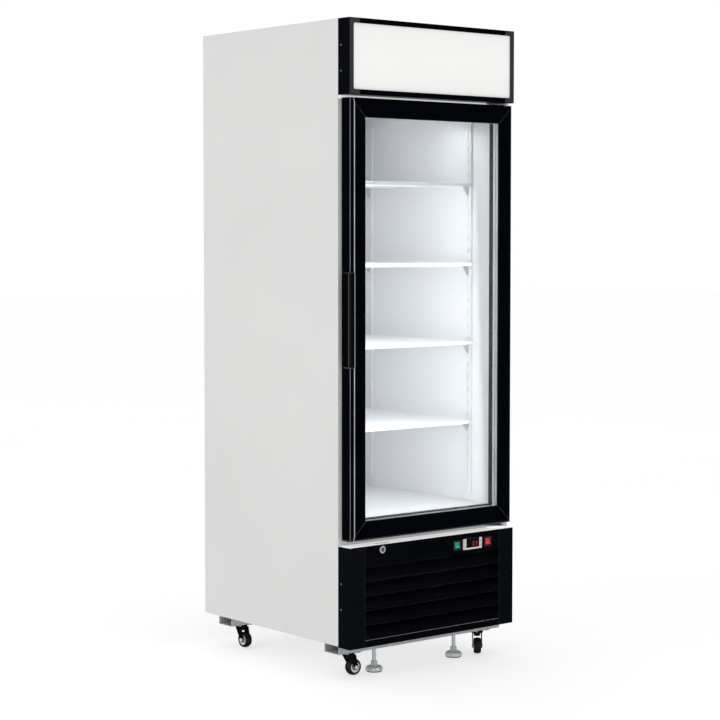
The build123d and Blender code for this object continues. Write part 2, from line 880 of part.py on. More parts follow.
with BuildPart() as rear_grille:
    block((-skin, cabinet_back - casing_sheet, pan_top), (skin, cabinet_back, machine_ceiling))
    for centre_x in grille_centre_x:
        for row in range(grille_rows):
            slot_z = grille_centre_z + (row - (grille_rows - 1) / 2) * grille_pitch
            block(
                (centre_x - grille_slot_width / 2, cabinet_back - 2, slot_z - grille_slot_height / 2),
                (centre_x + grille_slot_width / 2, cabinet_back + 1, slot_z + grille_slot_height / 2),
                Mode.SUBTRACT,
            )
            hood = side_section(centre_x - grille_slot_width / 2)
            with BuildSketch(hood):
                hood_z = slot_z + grille_slot_height / 2
                Polygon(
                    (cabinet_back - 0.5, hood_z),
                    (cabinet_back - 0.5, hood_z + 2),
                    (cabinet_back + proud, hood_z - 3.5),
                    (cabinet_back + proud, hood_z - 5),
                    (cabinet_back + proud - 1, hood_z - 5),
                    align=None,
                )
            extrude(amount=grille_slot_width)
    gland_plane = Plane(origin=(gland_x, cabinet_back, gland_z), x_dir=(-1, 0, 0), z_dir=(0, 1, 0))
    with BuildSketch(gland_plane):
        Circle(gland_radius - 2)
    extrude(amount=-3, mode=Mode.SUBTRACT)
save(rear_grille, "rear_grille")

with BuildPart() as cable_gland:
    with BuildSketch(gland_plane):
        RegularPolygon(radius=gland_radius + 1, side_count=6)
    extrude(amount=proud)
    with BuildSketch(gland_plane):
        Circle(gland_radius - 2)
    extrude(amount=-12)
    with BuildSketch(gland_plane.offset(proud)):
        Circle(cable_radius)
    extrude(amount=-(proud + 12), mode=Mode.SUBTRACT)
save(cable_gland, "cable_gland")

# ---------------------------------------------------------------- door frame
opening_left = door_left + door_frame_width
opening_right = door_right - door_frame_width
opening_bottom = door_bottom + door_frame_width
opening_top = door_top - door_frame_width
door_middle_x = (door_left + door_right) / 2
door_middle_z = (door_bottom + door_top) / 2
bevel_width = 14.0
bevel_depth = 5.0
outer_round = 2.5  # rounding of the bevel's two edges
face_round = 12.0
front_lip = 4.0
glass_front = door_front + front_lip
glass_back = glass_front + 3 * pane + 2 * pane_gap
hollow_wall = 2.5
corner_key = 80.0  # solid length at each mitred corner
bush_radius = 7.0
bush_length = 22.0
collar_radius = 11.0
bottom_gap = 8.7  # collar height between the lower bracket and the door

frame_depth = door_back - door_front
hollow_inner = door_frame_width - pane_bite - hollow_wall
glass_pocket_back = glass_back - door_front

# Frame section: local x from the outer edge inwards, local y from front to back.
with BuildSketch() as frame_profile:
    Polygon(
        (0, bevel_depth),
        (bevel_width, 0),
        (door_frame_width, 0),
        (door_frame_width, front_lip),
        (door_frame_width - pane_bite, front_lip),
        (door_frame_width - pane_bite, glass_pocket_back),
        (door_frame_width, glass_pocket_back),
        (door_frame_width, frame_depth),
        (0, frame_depth),
        align=None,
    )
    fillet(frame_profile.vertices().sort_by_distance((0, bevel_depth))[0], radius=outer_round)
    fillet(frame_profile.vertices().sort_by_distance((bevel_width, 0))[0], radius=face_round)

# Chamber that runs along the middle of each frame member.
with BuildSketch() as chamber_profile:
    Polygon(
        (hollow_wall, bevel_depth + hollow_wall),
        (bevel_width, hollow_wall),
        (hollow_inner, hollow_wall + front_lip),
        (hollow_inner, frame_depth - hollow_wall),
        (hollow_wall, frame_depth - hollow_wall),
        align=None,
    )


def mitre_cut(corner_x, corner_z, keep_point):
    """Trim the part being built at 45 degrees through a door corner, keeping one side."""
    across = Vector(door_middle_x - corner_x, 0, door_middle_z - corner_z)
    diagonal = Vector(1 if across.X > 0 else -1, 0, 1 if across.Z > 0 else -1).normalized()
    normal = diagonal.cross(Vector(0, 1, 0))
    if normal.dot(Vector(*keep_point) - Vector(corner_x, 0, corner_z)) < 0:
        normal = -normal
    split(bisect_by=Plane(origin=(corner_x, 0, corner_z), z_dir=normal), keep=Keep.TOP)


hinge_axis_bottom = level(hinge_x, hinge_y, door_bottom)

with BuildPart() as hinge_stile:
    stile_plane = Plane(origin=(door_right, door_front, door_bottom), x_dir=(-1, 0, 0), z_dir=(0, 0, -1))
    with BuildSketch(stile_plane):
        add(frame_profile.sketch)
    extrude(amount=-(door_top - door_bottom))
    with BuildSketch(stile_plane.offset(-corner_key)):
        add(chamber_profile.sketch)
    extrude(amount=-(door_top - door_bottom - 2 * corner_key), mode=Mode.SUBTRACT)
    mitre_cut(door_right, door_bottom, (door_right, 0, door_middle_z))
    mitre_cut(door_right, door_top, (door_right, 0, door_middle_z))
    with BuildSketch(hinge_axis_bottom, level(hinge_x, hinge_y, door_top - bush_length)):
        Circle(bush_radius)
    extrude(amount=bush_length, mode=Mode.SUBTRACT)

with BuildPart() as latch_stile:
    stile_plane = Plane(origin=(door_left, door_front, door_bottom), x_dir=(1, 0, 0), z_dir=(0, 0, 1))
    with BuildSketch(stile_plane):
        add(frame_profile.sketch)
    extrude(amount=door_top - door_bottom)
    with BuildSketch(stile_plane.offset(corner_key)):
        add(chamber_profile.sketch)
    extrude(amount=door_top - door_bottom - 2 * corner_key, mode=Mode.SUBTRACT)
    mitre_cut(door_left, door_bottom, (door_left, 0, door_middle_z))
    mitre_cut(door_left, door_top, (door_left, 0, door_middle_z))

with BuildPart() as door_stiles:
    add(hinge_stile.part)
    add(latch_stile.part)
save(door_stiles, "door_stiles")

lock_slot_depth = 14.0

with BuildPart() as bottom_rail:
    rail_plane = Plane(origin=(door_left, door_front, door_bottom), x_dir=(0, 0, 1), z_dir=(-1, 0, 0))
    with BuildSketch(rail_plane):
        add(frame_profile.sketch)
    extrude(amount=-(door_right - door_left))
    with BuildSketch(rail_plane.offset(-corner_key)):
        add(chamber_profile.sketch)
    extrude(amount=-(door_right - door_left - 2 * corner_key), mode=Mode.SUBTRACT)
    mitre_cut(door_left, door_bottom, (door_middle_x, 0, door_bottom))
    mitre_cut(door_right, door_bottom, (door_middle_x, 0, door_bottom))
    with BuildSketch(hinge_axis_bottom):
        Circle(bush_radius)
    extrude(amount=bush_length, mode=Mode.SUBTRACT)
    block(
        (lock_x - 9, lock_lever_y - 2.5, door_bottom - 1),
        (
            lock_x + lock_lever_reach - 6,
            lock_lever_y + lock_lever_thickness + 2.5,
            door_bottom + lock_slot_depth,
        ),
        Mode.SUBTRACT,
    )

with BuildPart() as top_rail:
    rail_plane = Plane(origin=(door_left, door_front, door_top), x_dir=(0, 0, -1), z_dir=(1, 0, 0))
    with BuildSketch(rail_plane):
        add(frame_profile.sketch)
    extrude(amount=door_right - door_left)
    with BuildSketch(rail_plane.offset(corner_key)):
        add(chamber_profile.sketch)
    extrude(amount=door_right - door_left - 2 * corner_key, mode=Mode.SUBTRACT)
    mitre_cut(door_left, door_top, (door_middle_x, 0, door_top))
    mitre_cut(door_right, door_top, (door_middle_x, 0, door_top))
    with BuildSketch(level(hinge_x, hinge_y, door_top - bush_length)):
        Circle(bush_radius)
    extrude(amount=bush_length, mode=Mode.SUBTRACT)

with BuildPart() as door_rails:
    add(bottom_rail.part)
    add(top_rail.part)
save(door_rails, "door_rails")

# ---------------------------------------------------------------- glass unit
pane_low = (opening_left - pane_bite + 0.5, opening_bottom - pane_bite + 0.5)
pane_high = (opening_right + pane_bite - 0.5, opening_top + pane_bite - 0.5)

with BuildPart() as glass_panes:
    for pane_number in range(3):
        pane_y = glass_front + pane_number * (pane + pane_gap)
        block((pane_low[0], pane_y, pane_low[1]), (pane_high[0], pane_y + pane, pane_high[1]))
save(glass_panes, "glass_panes")

spacer_cover = 1.5  # how far the spacers show inside the opening

with BuildPart() as pane_spacers:
    for gap_number in range(2):
        gap_y = glass_front + pane + gap_number * (pane + pane_gap)
        block((pane_low[0], gap_y, pane_low[1]), (pane_high[0], gap_y + pane_gap, pane_high[1]))
        block(
            (opening_left + spacer_cover, gap_y - 1, opening_bottom + spacer_cover),
            (opening_right - spacer_cover, gap_y + pane_gap + 1, opening_top - spacer_cover),
            Mode.SUBTRACT,
        )
save(pane_spacers, "pane_spacers")

# ---------------------------------------------------------------- gasket and handle
gasket_left = -314.0
gasket_right = 304.0
gasket_bottom = 424.0
gasket_top = 1714.0
gasket_width = 16.0
gasket_clearance = 0.4

with BuildPart() as door_gasket:
    block(
        (gasket_left, door_back, gasket_bottom),
        (gasket_right, cabinet_face - gasket_clearance, gasket_top),
    )
    block(
        (gasket_left + gasket_width, door_back - 1, gasket_bottom + gasket_width),
        (gasket_right - gasket_width, cabinet_face, gasket_top - gasket_width),
        Mode.SUBTRACT,
    )
save(door_gasket, "door_gasket")

handle_bottom = 930.0
handle_top = 1210.0
handle_right = -306.0
handle_back = -331.0
handle_stand_off = 5.0
handle_wall = 3.0
handle_front = door_front - 2.6
handle_outer = door_left - handle_stand_off - handle_wall

with BuildPart() as door_handle:
    with BuildSketch(level(0, 0, handle_bottom)):
        with BuildLine():
            shell = Polyline(
                (handle_right, door_front),
                (handle_right, handle_front),
                (handle_outer + 7, handle_front),
            )
            corner = TangentArc(
                shell @ 1, (handle_outer, handle_front + 8), tangent=(-1, 0)
            )
            Polyline(
                corner @ 1,
                (handle_outer, handle_back),
                (handle_outer + handle_wall, handle_back),
                (handle_outer + handle_wall, handle_back - 15),
                (door_left, handle_back - 18),
                (door_left, door_front + bevel_depth),
                (door_left + bevel_width, door_front),
                (handle_right, door_front),
            )
        make_face()
    extrude(amount=handle_top - handle_bottom)
    rear_corners = [
        edge
        for edge in door_handle.edges().filter_by(Axis.X)
        if abs(edge.center().Y - handle_back) < 0.1
    ]
    fillet(rear_corners, radius=14.0)
save(door_handle, "door_handle")

# ---------------------------------------------------------------- hinges
bracket_plate = 3.0
bracket_front = hinge_y - 10.0
lower_bracket_top = door_bottom - bottom_gap - 0.3
upper_bracket_bottom = door_top + 2.5
bracket_flange_height = 30.0

with BuildPart() as hinge_brackets:
    for plate_bottom, flange_bottom in (
        (lower_bracket_top - bracket_plate, lower_bracket_top - bracket_flange_height),
        (upper_bracket_bottom, upper_bracket_bottom),
    ):
        with BuildSketch(level(0, 0, plate_bottom)):
            with BuildLine():
                Polyline(
                    (bracket_left, cabinet_face),
                    (bracket_left, cabinet_face - 12),
                    (hinge_x - 12, bracket_front),
                    (bracket_right - 4, bracket_front),
                    (bracket_right, bracket_front + 4),
                    (bracket_right, cabinet_face),
                    close=True,
                )
            make_face()
            with Locations((hinge_x, hinge_y)):
                Circle(hinge_pin_radius, mode=Mode.SUBTRACT)
        extrude(amount=bracket_plate)
        block(
            (bracket_left, cabinet_face - bracket_flange, flange_bottom),
            (bracket_right, cabinet_face, flange_bottom + bracket_flange_height),
        )
save(hinge_brackets, "hinge_brackets")

pin_reach = 18.0

with BuildPart() as hinge_pins:
    with BuildSketch(level(hinge_x, hinge_y, lower_bracket_top - bracket_plate)):
        Circle(hinge_pin_radius)
    extrude(amount=bracket_plate + bottom_gap + 0.3 + pin_reach)
    with BuildSketch(level(hinge_x, hinge_y, door_top - pin_reach)):
        Circle(hinge_pin_radius)
    extrude(amount=pin_reach + 2.5 + bracket_plate)
save(hinge_pins, "hinge_pins")

with BuildPart() as hinge_bushes:
    with BuildSketch(hinge_axis_bottom, level(hinge_x, hinge_y, door_top - bush_length)):
        Circle(bush_radius)
    extrude(amount=bush_length)
    with BuildSketch(level(hinge_x, hinge_y, door_bottom - bottom_gap)):
        Circle(collar_radius)
    extrude(amount=bottom_gap)
    with BuildSketch(level(hinge_x, hinge_y, door_bottom - bottom_gap)):
        Circle(hinge_pin_radius + running_clearance)
    extrude(amount=bottom_gap + pin_reach + 2, mode=Mode.SUBTRACT)
    with BuildSketch(level(hinge_x, hinge_y, door_top)):
        Circle(hinge_pin_radius + running_clearance)
    extrude(amount=-(pin_reach + 2), mode=Mode.SUBTRACT)
save(hinge_bushes, "hinge_bushes")

# ---------------------------------------------------------------- side screws
screw_y = -330.0
screw_head_radius = 3.2
screw_head_height = 1.4

with BuildPart() as side_screws:
    for side in (-1, 1):
        for face_x, screw_z in (
            (canopy_half_width, 1872.0),
            (canopy_half_width, 1797.0),
            (half_width, 291.0),
            (half_width, 214.0),
        ):
            head_plane = Plane(
                origin=(side * face_x, screw_y, screw_z), x_dir=(0, 1, 0), z_dir=(side, 0, 0)
            )
            with BuildSketch(head_plane):
                Circle(screw_head_radius)
            extrude(amount=screw_head_height, taper=25)
            with BuildSketch(head_plane.offset(screw_head_height)):
                Rectangle(2 * screw_head_radius - 2.4, 0.8)
                Rectangle(0.8, 2 * screw_head_radius - 2.4)
            extrude(amount=-0.8, mode=Mode.SUBTRACT)
save(side_screws, "side_screws")

# ---------------------------------------------------------------- casters
plate_size = 60.0
plate_sheet = 2.5
race_height = 8.0
race_radius = 20.0
kingpin_radius = 4.0
fork_top = channel_bottom - plate_sheet - race_height - 0.4
fork_sheet = 2.5
fork_inside = 12.6  # half the space between the fork's cheeks
wheel_half_width = 11.0
axle_radius = 3.0
kingpin_length = 5.0  # below the race
kingpin_socket = 5.4
boss_radius = 10.0
boss_depth = 12.0

# Swivel position and the direction in which each wheel trails, degrees from +X.
caster_places = {
    "front_left": (-caster_x, caster_front_y, 0.0),
    "front_right": (caster_x, caster_front_y, -129.4),
    "rear_left": (-caster_x, caster_rear_y, -90.0),
    "rear_right": (caster_x, caster_rear_y, -60.0),
}

with BuildPart() as caster_plates:
    for swivel_x, swivel_y, trail_angle in caster_places.values():
        with BuildSketch(level(swivel_x, swivel_y, channel_bottom)):
            RectangleRounded(plate_size, plate_size, radius=6)
        extrude(amount=-plate_sheet)
        with BuildSketch(level(swivel_x, swivel_y, channel_bottom - plate_sheet)):
            Circle(race_radius)
        extrude(amount=-race_height, taper=12)
        with BuildSketch(level(swivel_x, swivel_y, channel_bottom - plate_sheet)):
            Circle(kingpin_radius)
        extrude(amount=-(race_height + kingpin_length))
save(caster_plates, "caster_plates")


def make_caster(swivel_x, swivel_y, trail_angle, place_name):
    """Fork with its axle bolt, and the wheel, trailing behind the swivel pin."""
    trail = Vector(cos(radians(trail_angle)), sin(radians(trail_angle)), 0)
    swivel = Vector(swivel_x, swivel_y, 0)
    lateral = Vector(0, 0, 1).cross(trail)

    with BuildPart() as fork:
        with BuildSketch(level(swivel_x, swivel_y, fork_top)):
            Circle(race_radius - 2)
        extrude(amount=-fork_sheet)
        with BuildSketch(level(swivel_x, swivel_y, fork_top)):
            Circle(boss_radius)
        extrude(amount=-boss_depth)
        for cheek_side in (-1, 1):
            cheek_start = fork_inside if cheek_side > 0 else -fork_inside - fork_sheet
            cheek_plane = Plane(
                origin=swivel + lateral * cheek_start, x_dir=trail, z_dir=lateral
            )
            # local y points down because the normal is level and x follows the trail
            with BuildSketch(cheek_plane):
                with BuildLine():
                    Polyline(
                        (-race_radius + 6, -fork_top),
                        (race_radius - 3, -fork_top),
                        (caster_trail + 8, -wheel_radius - 4),
                    )
                    ThreePointArc(
                        (caster_trail + 8, -wheel_radius - 4),
                        (caster_trail, -wheel_radius + 8),
                        (caster_trail - 8, -wheel_radius - 2),
                    )
                    Line((caster_trail - 8, -wheel_radius - 2), (-race_radius + 6, -fork_top))
                make_face()
            extrude(amount=fork_sheet)
        with BuildSketch(level(swivel_x, swivel_y, fork_top)):
            Circle(kingpin_radius + running_clearance)
        extrude(amount=-kingpin_socket, mode=Mode.SUBTRACT)
        axle_plane = Plane(
            origin=swivel + trail * caster_trail + Vector(0, 0, wheel_radius)
            - lateral * (fork_inside + fork_sheet + 2),
            x_dir=trail,
            z_dir=lateral,
        )
        with BuildSketch(axle_plane):
            Circle(axle_radius)
        extrude(amount=2 * (fork_inside + fork_sheet + 2))
        for nut_start in (0, 2 * (fork_inside + fork_sheet) + 2):
            with BuildSketch(axle_plane.offset(nut_start)):
                RegularPolygon(radius=5.5, side_count=6)
            extrude(amount=2)
    save(fork, f"caster_fork_{place_name}")

    with BuildPart() as wheel:
        wheel_plane = Plane(
            origin=swivel + trail * caster_trail + Vector(0, 0, wheel_radius), x_dir=lateral, z_dir=trail
        )
        with BuildSketch(wheel_plane):
            with BuildLine():
                rim = Polyline(
                    (-wheel_half_width - 1, axle_radius + running_clearance),
                    (-wheel_half_width - 1, 7),
                    (-wheel_half_width + 3, 8),
                    (-wheel_half_width + 3, 15),
                    (-wheel_half_width, 17),
                    (-wheel_half_width, wheel_radius - 3),
                )
                tread = ThreePointArc(
                    rim @ 1, (0, wheel_radius), (wheel_half_width, wheel_radius - 3)
                )
                Polyline(
                    tread @ 1,
                    (wheel_half_width, 17),
                    (wheel_half_width - 3, 15),
                    (wheel_half_width - 3, 8),
                    (wheel_half_width + 1, 7),
                    (wheel_half_width + 1, axle_radius + running_clearance),
                    (-wheel_half_width - 1, axle_radius + running_clearance),
                )
            make_face()
        axle_axis = Axis(swivel + trail * caster_trail + Vector(0, 0, wheel_radius), lateral)
        revolve(axis=axle_axis, revolution_arc=360)
    save(wheel, f"caster_wheel_{place_name}")


for place_name, place in caster_places.items():
    make_caster(*place, place_name)

# ---------------------------------------------------------------- levelling feet
foot_pad_radius = 26.0
foot_rubber = 3.0
foot_dome_top = 20.0
foot_hex_top = 31.0
foot_hex_radius = 10.5
foot_rod_top = 90.0


def make_foot(foot_side, name):
    """Screw foot: rubber-soled domed pad, hexagon for the spanner and a threaded rod."""
    foot_plane = Plane(
        origin=(foot_side * foot_x, caster_front_y, 0), x_dir=(1, 0, 0), z_dir=(0, -1, 0)
    )
    with BuildPart() as foot:
        with BuildSketch(foot_plane):
            with BuildLine():
                sole = Polyline(
                    (0, 0), (foot_pad_radius - 2, 0), (foot_pad_radius - 2, foot_rubber)
                )
                step = Polyline(
                    sole @ 1, (foot_pad_radius, foot_rubber), (foot_pad_radius, foot_rubber + 5)
                )
                dome = TangentArc(step @ 1, (foot_hex_radius + 3, foot_dome_top - 4), tangent=(0, 1))
                Polyline(
                    dome @ 1,
                    (foot_hex_radius, foot_dome_top),
                    (0, foot_dome_top),
                    (0, 0),
                )
            make_face()
        revolve(axis=Axis((foot_side * foot_x, caster_front_y, 0), (0, 0, 1)), revolution_arc=360)
        with BuildSketch(level(foot_side * foot_x, caster_front_y, foot_dome_top)):
            RegularPolygon(radius=foot_hex_radius, side_count=6)
        extrude(amount=foot_hex_top - foot_dome_top)
        with BuildSketch(level(foot_side * foot_x, caster_front_y, foot_hex_top)):
            Circle(foot_rod_radius)
        extrude(amount=foot_rod_top - foot_hex_top)
    save(foot, name)


make_foot(-1, "foot_left")
make_foot(1, "foot_right")
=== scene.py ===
"""Looks of the glass door merchandiser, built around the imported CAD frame. Metres, +Z up."""

import json
from math import cos, pi, radians, sin

import bmesh
import bpy
from mathutils import Matrix, Vector


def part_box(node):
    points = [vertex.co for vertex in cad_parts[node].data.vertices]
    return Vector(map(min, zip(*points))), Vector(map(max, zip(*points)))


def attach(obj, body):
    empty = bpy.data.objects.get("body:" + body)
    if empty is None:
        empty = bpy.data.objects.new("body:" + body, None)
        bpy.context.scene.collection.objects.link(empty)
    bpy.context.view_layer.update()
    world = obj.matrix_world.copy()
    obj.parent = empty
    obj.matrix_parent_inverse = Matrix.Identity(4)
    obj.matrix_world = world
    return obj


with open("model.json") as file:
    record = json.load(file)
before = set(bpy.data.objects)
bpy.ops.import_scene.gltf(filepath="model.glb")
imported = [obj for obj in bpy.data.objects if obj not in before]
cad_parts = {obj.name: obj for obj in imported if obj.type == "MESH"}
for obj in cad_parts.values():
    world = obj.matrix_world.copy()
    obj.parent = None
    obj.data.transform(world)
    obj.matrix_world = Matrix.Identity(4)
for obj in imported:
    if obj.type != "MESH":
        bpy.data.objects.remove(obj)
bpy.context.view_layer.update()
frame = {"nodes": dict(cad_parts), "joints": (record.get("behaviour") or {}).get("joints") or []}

FRAME_WIDTH = 0.055  # of the door's stiles and rails, seen from the front
SWITCH_TILT = radians(18.7)  # lower half of a rocker's face, leaning back from upright

# ---------------------------------------------------------------- camera
CAMERA_PLACE = (-3.9368, -4.8134, 1.3277)
CAMERA_YAW = radians(-39.37)
CAMERA_PITCH_DOWN = radians(3.0)


def make_camera():
    """Long lens at chest height, off the cabinet's front left corner."""
    data = bpy.data.cameras.new("camera")
    data.sensor_width = 36.0
    data.lens = 98.33
    data.shift_y = -0.0343
    data.clip_end = 60.0
    camera = bpy.data.objects.new("camera", data)
    camera.location = CAMERA_PLACE
    camera.rotation_euler = (radians(90) - CAMERA_PITCH_DOWN, 0.0, CAMERA_YAW)
    bpy.context.scene.collection.objects.link(camera)
    bpy.context.scene.camera = camera


make_camera()


# ---------------------------------------------------------------- node helpers
class Tree:
    """Short way to add and join nodes in one material."""

    def __init__(self, name):
        self.material = bpy.data.materials.new(name)
        self.material.use_nodes = True
        self.nodes = self.material.node_tree.nodes
        self.links = self.material.node_tree.links
        self.nodes.clear()
        self.output = self.nodes.new("ShaderNodeOutputMaterial")
        self.shader = self.nodes.new("ShaderNodeBsdfPrincipled")
        self.link(self.shader.outputs[0], self.output.inputs[0])
        self.place = self.nodes.new("ShaderNodeTexCoord").outputs["Object"]

    def link(self, source, target):
        self.links.new(source, target)

    def set(self, **values):
        """Set sockets of the main shader by name, with _ for a space."""
        for key, value in values.items():
            self.shader.inputs[key.replace("_", " ")].default_value = value

    def noise(self, scale, detail=3.0, stretch=None, roughness=0.5):
        node = self.nodes.new("ShaderNodeTexNoise")
        node.inputs["Scale"].default_value = scale
        node.inputs["Detail"].default_value = detail
        node.inputs["Roughness"].default_value = roughness
        self.link(self.stretched(stretch), node.inputs["Vector"])
        return node.outputs["Fac"]

    def stretched(self, stretch):
        if stretch is None:
            return self.place
        node = self.nodes.new("ShaderNodeVectorMath")
        node.operation = "MULTIPLY"
        node.inputs[1].default_value = stretch
        self.link(self.place, node.inputs[0])
        return node.outputs[0]

    def remap(self, source, low, high, from_low=0.3, from_high=0.7):
        node = self.nodes.new("ShaderNodeMapRange")
        node.inputs["From Min"].default_value = from_low
        node.inputs["From Max"].default_value = from_high
        node.inputs["To Min"].default_value = low
        node.inputs["To Max"].default_value = high
        self.link(source, node.inputs["Value"])
        return node.outputs[0]

    def mix(self, factor, first, second):
        node = self.nodes.new("ShaderNodeMix")
        node.data_type = "RGBA"
        self.link(factor, node.inputs[0])
        for index, colour in ((6, first), (7, second)):
            if isinstance(colour, tuple):
                node.inputs[index].default_value = (*colour, 1.0)
            else:
                self.link(colour, node.inputs[index])
        return node.outputs[2]

    def math(self, operation, first, second=0.0, clamp=False):
        node = self.nodes.new("ShaderNodeMath")
        node.operation = operation
        node.use_clamp = clamp
        for index, value in enumerate((first, second)):
            if isinstance(value, (int, float)):
                node.inputs[index].default_value = value
            else:
                self.link(value, node.inputs[index])
        return node.outputs[0]

    def axis(self, name):
        node = self.nodes.new("ShaderNodeSeparateXYZ")
        self.link(self.place, node.inputs[0])
        return node.outputs[name]

    def rounded_edges(self, radius):
        """Shading normal that rounds the sharp edges of a folded or moulded part."""
        node = self.nodes.new("ShaderNodeBevel")
        node.samples = 6
        node.inputs["Radius"].default_value = radius
        return node.outputs[0]

    def edge_mask(self, radius):
        """1 along sharp edges and 0 on flats."""
        geometry = self.nodes.new("ShaderNodeNewGeometry")
        dot = self.nodes.new("ShaderNodeVectorMath")
        dot.operation = "DOT_PRODUCT"
        self.link(self.rounded_edges(radius), dot.inputs[0])
        self.link(geometry.outputs["True Normal"], dot.inputs[1])
        return self.remap(dot.outputs["Value"], 1.0, 0.0, 0.8, 0.985)

    def bump(self, height, strength, distance, edge_radius=0.0):
        node = self.nodes.new("ShaderNodeBump")
        node.inputs["Strength"].default_value = strength
        node.inputs["Distance"].default_value = distance
        self.link(height, node.inputs["Height"])
        if edge_radius:
            self.link(self.rounded_edges(edge_radius), node.inputs["Normal"])
        self.link(node.outputs[0], self.shader.inputs["Normal"])


def finish(name, dark, light, rough=(0.3, 0.4), metal=0.0, grain=900.0, grain_depth=0.00002,
           grain_strength=0.4, stretch=None, patch=6.0, edge=0.0008, edge_wear_and_highlight=0.25, edge_wear_and_highlight_colour=None,
           specular=0.5, coat=0.0, coat_rough=0.1):
    """Base surface: slow colour drift, uneven gloss, fine grain, softened edges, and an edge colour that
    stands for wear, and on some black parts for painted highlights.
    """
    tree = Tree(name)
    tree.set(Metallic=metal, Specular_IOR_Level=specular, Coat_Weight=coat, Coat_Roughness=coat_rough)
    drift = tree.remap(tree.noise(patch, 4.0), 0.0, 1.0)
    colour = tree.mix(drift, dark, light)
    speck = tree.noise(grain, 2.0, stretch)
    colour = tree.mix(tree.remap(speck, 0.0, 0.35, 0.45, 0.75), colour, light)
    # Edge colour: wear, and on some black parts a painted highlight along the edges.
    if edge_wear_and_highlight:
        wear_and_highlight_mask = tree.math("MULTIPLY", tree.edge_mask(edge), tree.remap(tree.noise(140.0, 4.0), 0.1, 1.0))
        wear_and_highlight_mask = tree.math("MULTIPLY", wear_and_highlight_mask, edge_wear_and_highlight, clamp=True)
        wear_and_highlight_tone = edge_wear_and_highlight_colour or tuple(min(1.0, channel * 1.35 + 0.02) for channel in light)
        colour = tree.mix(wear_and_highlight_mask, colour, wear_and_highlight_tone)
    tree.link(colour, tree.shader.inputs["Base Color"])
    gloss = tree.remap(tree.noise(patch * 5.0, 5.0, stretch), rough[0], rough[1])
    tree.link(gloss, tree.shader.inputs["Roughness"])
    tree.bump(speck, grain_strength, grain_depth, edge)
    return tree


def dress(material, *names):
    """Give carried-over CAD nodes a material."""
    for name in names:
        node = frame["nodes"][name]
        node.data.materials.clear()
        node.data.materials.append(material)


# ---------------------------------------------------------------- materials
casing_paint = finish("casing_paint", (0.698, 0.698, 0.690), (0.728, 0.728, 0.719), rough=(0.40, 0.50),
                      grain=1400.0, grain_depth=0.00003, grain_strength=0.25, patch=2.0, edge_wear_and_highlight=0.15,
                      edge_wear_and_highlight_colour=(0.86, 0.86, 0.85), specular=0.35).material
liner_white = finish("liner_white", (0.84, 0.845, 0.865), (0.87, 0.875, 0.89), rough=(0.42, 0.50),
                     grain=500.0, grain_depth=0.00002, grain_strength=0.15, patch=1.2, edge_wear_and_highlight=0.0,
                     specular=0.06).material
cover_white = finish("cover_white", (0.78, 0.79, 0.80), (0.84, 0.85, 0.86), rough=(0.3, 0.42),
                     grain=1100.0, edge_wear_and_highlight=0.2, edge_wear_and_highlight_colour=(0.6, 0.6, 0.6)).material
foam = finish("foam", (0.72, 0.62, 0.38), (0.84, 0.76, 0.5), rough=(0.8, 0.95), grain=700.0,
              grain_depth=0.0006, grain_strength=0.8, edge_wear_and_highlight=0.0).material
black_metal = finish("black_metal", (0.0010, 0.0016, 0.0030), (0.0020, 0.0029, 0.0046), rough=(0.30, 0.40),
                     grain=1500.0, grain_depth=0.000025, grain_strength=0.3, edge_wear_and_highlight=0.5,
                     edge_wear_and_highlight_colour=(0.035, 0.036, 0.038), specular=0.14).material
# Painted highlight: a full-strength pale edge colour draws thin highlight lines along the slats' edges.
louvre_black = finish("louvre_black", (0.0006, 0.0010, 0.0024), (0.0012, 0.0019, 0.0036),
                      rough=(0.32, 0.42), grain=1500.0, grain_depth=0.000025, grain_strength=0.3,
                      edge=0.0012, edge_wear_and_highlight=1.0, edge_wear_and_highlight_colour=(0.16, 0.165, 0.17), specular=0.10).material
black_plastic = finish("black_plastic", (0.0012, 0.0014, 0.002), (0.0026, 0.003, 0.004), rough=(0.22, 0.32),
                       grain=1800.0, grain_depth=0.00003, grain_strength=0.35, edge_wear_and_highlight=0.4,
                       edge_wear_and_highlight_colour=(0.04, 0.04, 0.04), specular=0.25).material
# Painted highlight: a full-strength pale edge colour draws grey highlight outlines round the switch
# housings.
switch_black = finish("switch_black", (0.006, 0.0065, 0.007), (0.012, 0.0125, 0.013), rough=(0.25, 0.35),
                      grain=1800.0, grain_depth=0.00003, grain_strength=0.3, edge=0.0012, edge_wear_and_highlight=1.0,
                      edge_wear_and_highlight_colour=(0.30, 0.31, 0.31), specular=0.4).material
dark_grey_plastic = finish("dark_grey_plastic", (0.030, 0.033, 0.034), (0.042, 0.046, 0.047),
                           rough=(0.42, 0.55), grain=1600.0, grain_depth=0.00005, grain_strength=0.5,
                           edge_wear_and_highlight=0.6, edge_wear_and_highlight_colour=(0.12, 0.125, 0.125), specular=0.35).material
galvanised = finish("galvanised", (0.60, 0.615, 0.62), (0.76, 0.775, 0.78), rough=(0.28, 0.42),
                    metal=0.35, grain=300.0, grain_depth=0.00002, patch=45.0, edge_wear_and_highlight=0.3).material
zinc = finish("zinc", (0.72, 0.73, 0.73), (0.88, 0.89, 0.89), rough=(0.2, 0.34), metal=0.4, grain=900.0,
              patch=60.0, edge_wear_and_highlight=0.3).material
zinc_dark = finish("zinc_dark", (0.10, 0.105, 0.11), (0.22, 0.225, 0.23), rough=(0.2, 0.34), metal=0.4,
                   grain=900.0, patch=60.0, edge_wear_and_highlight=0.8, edge_wear_and_highlight_colour=(0.7, 0.7, 0.7)).material
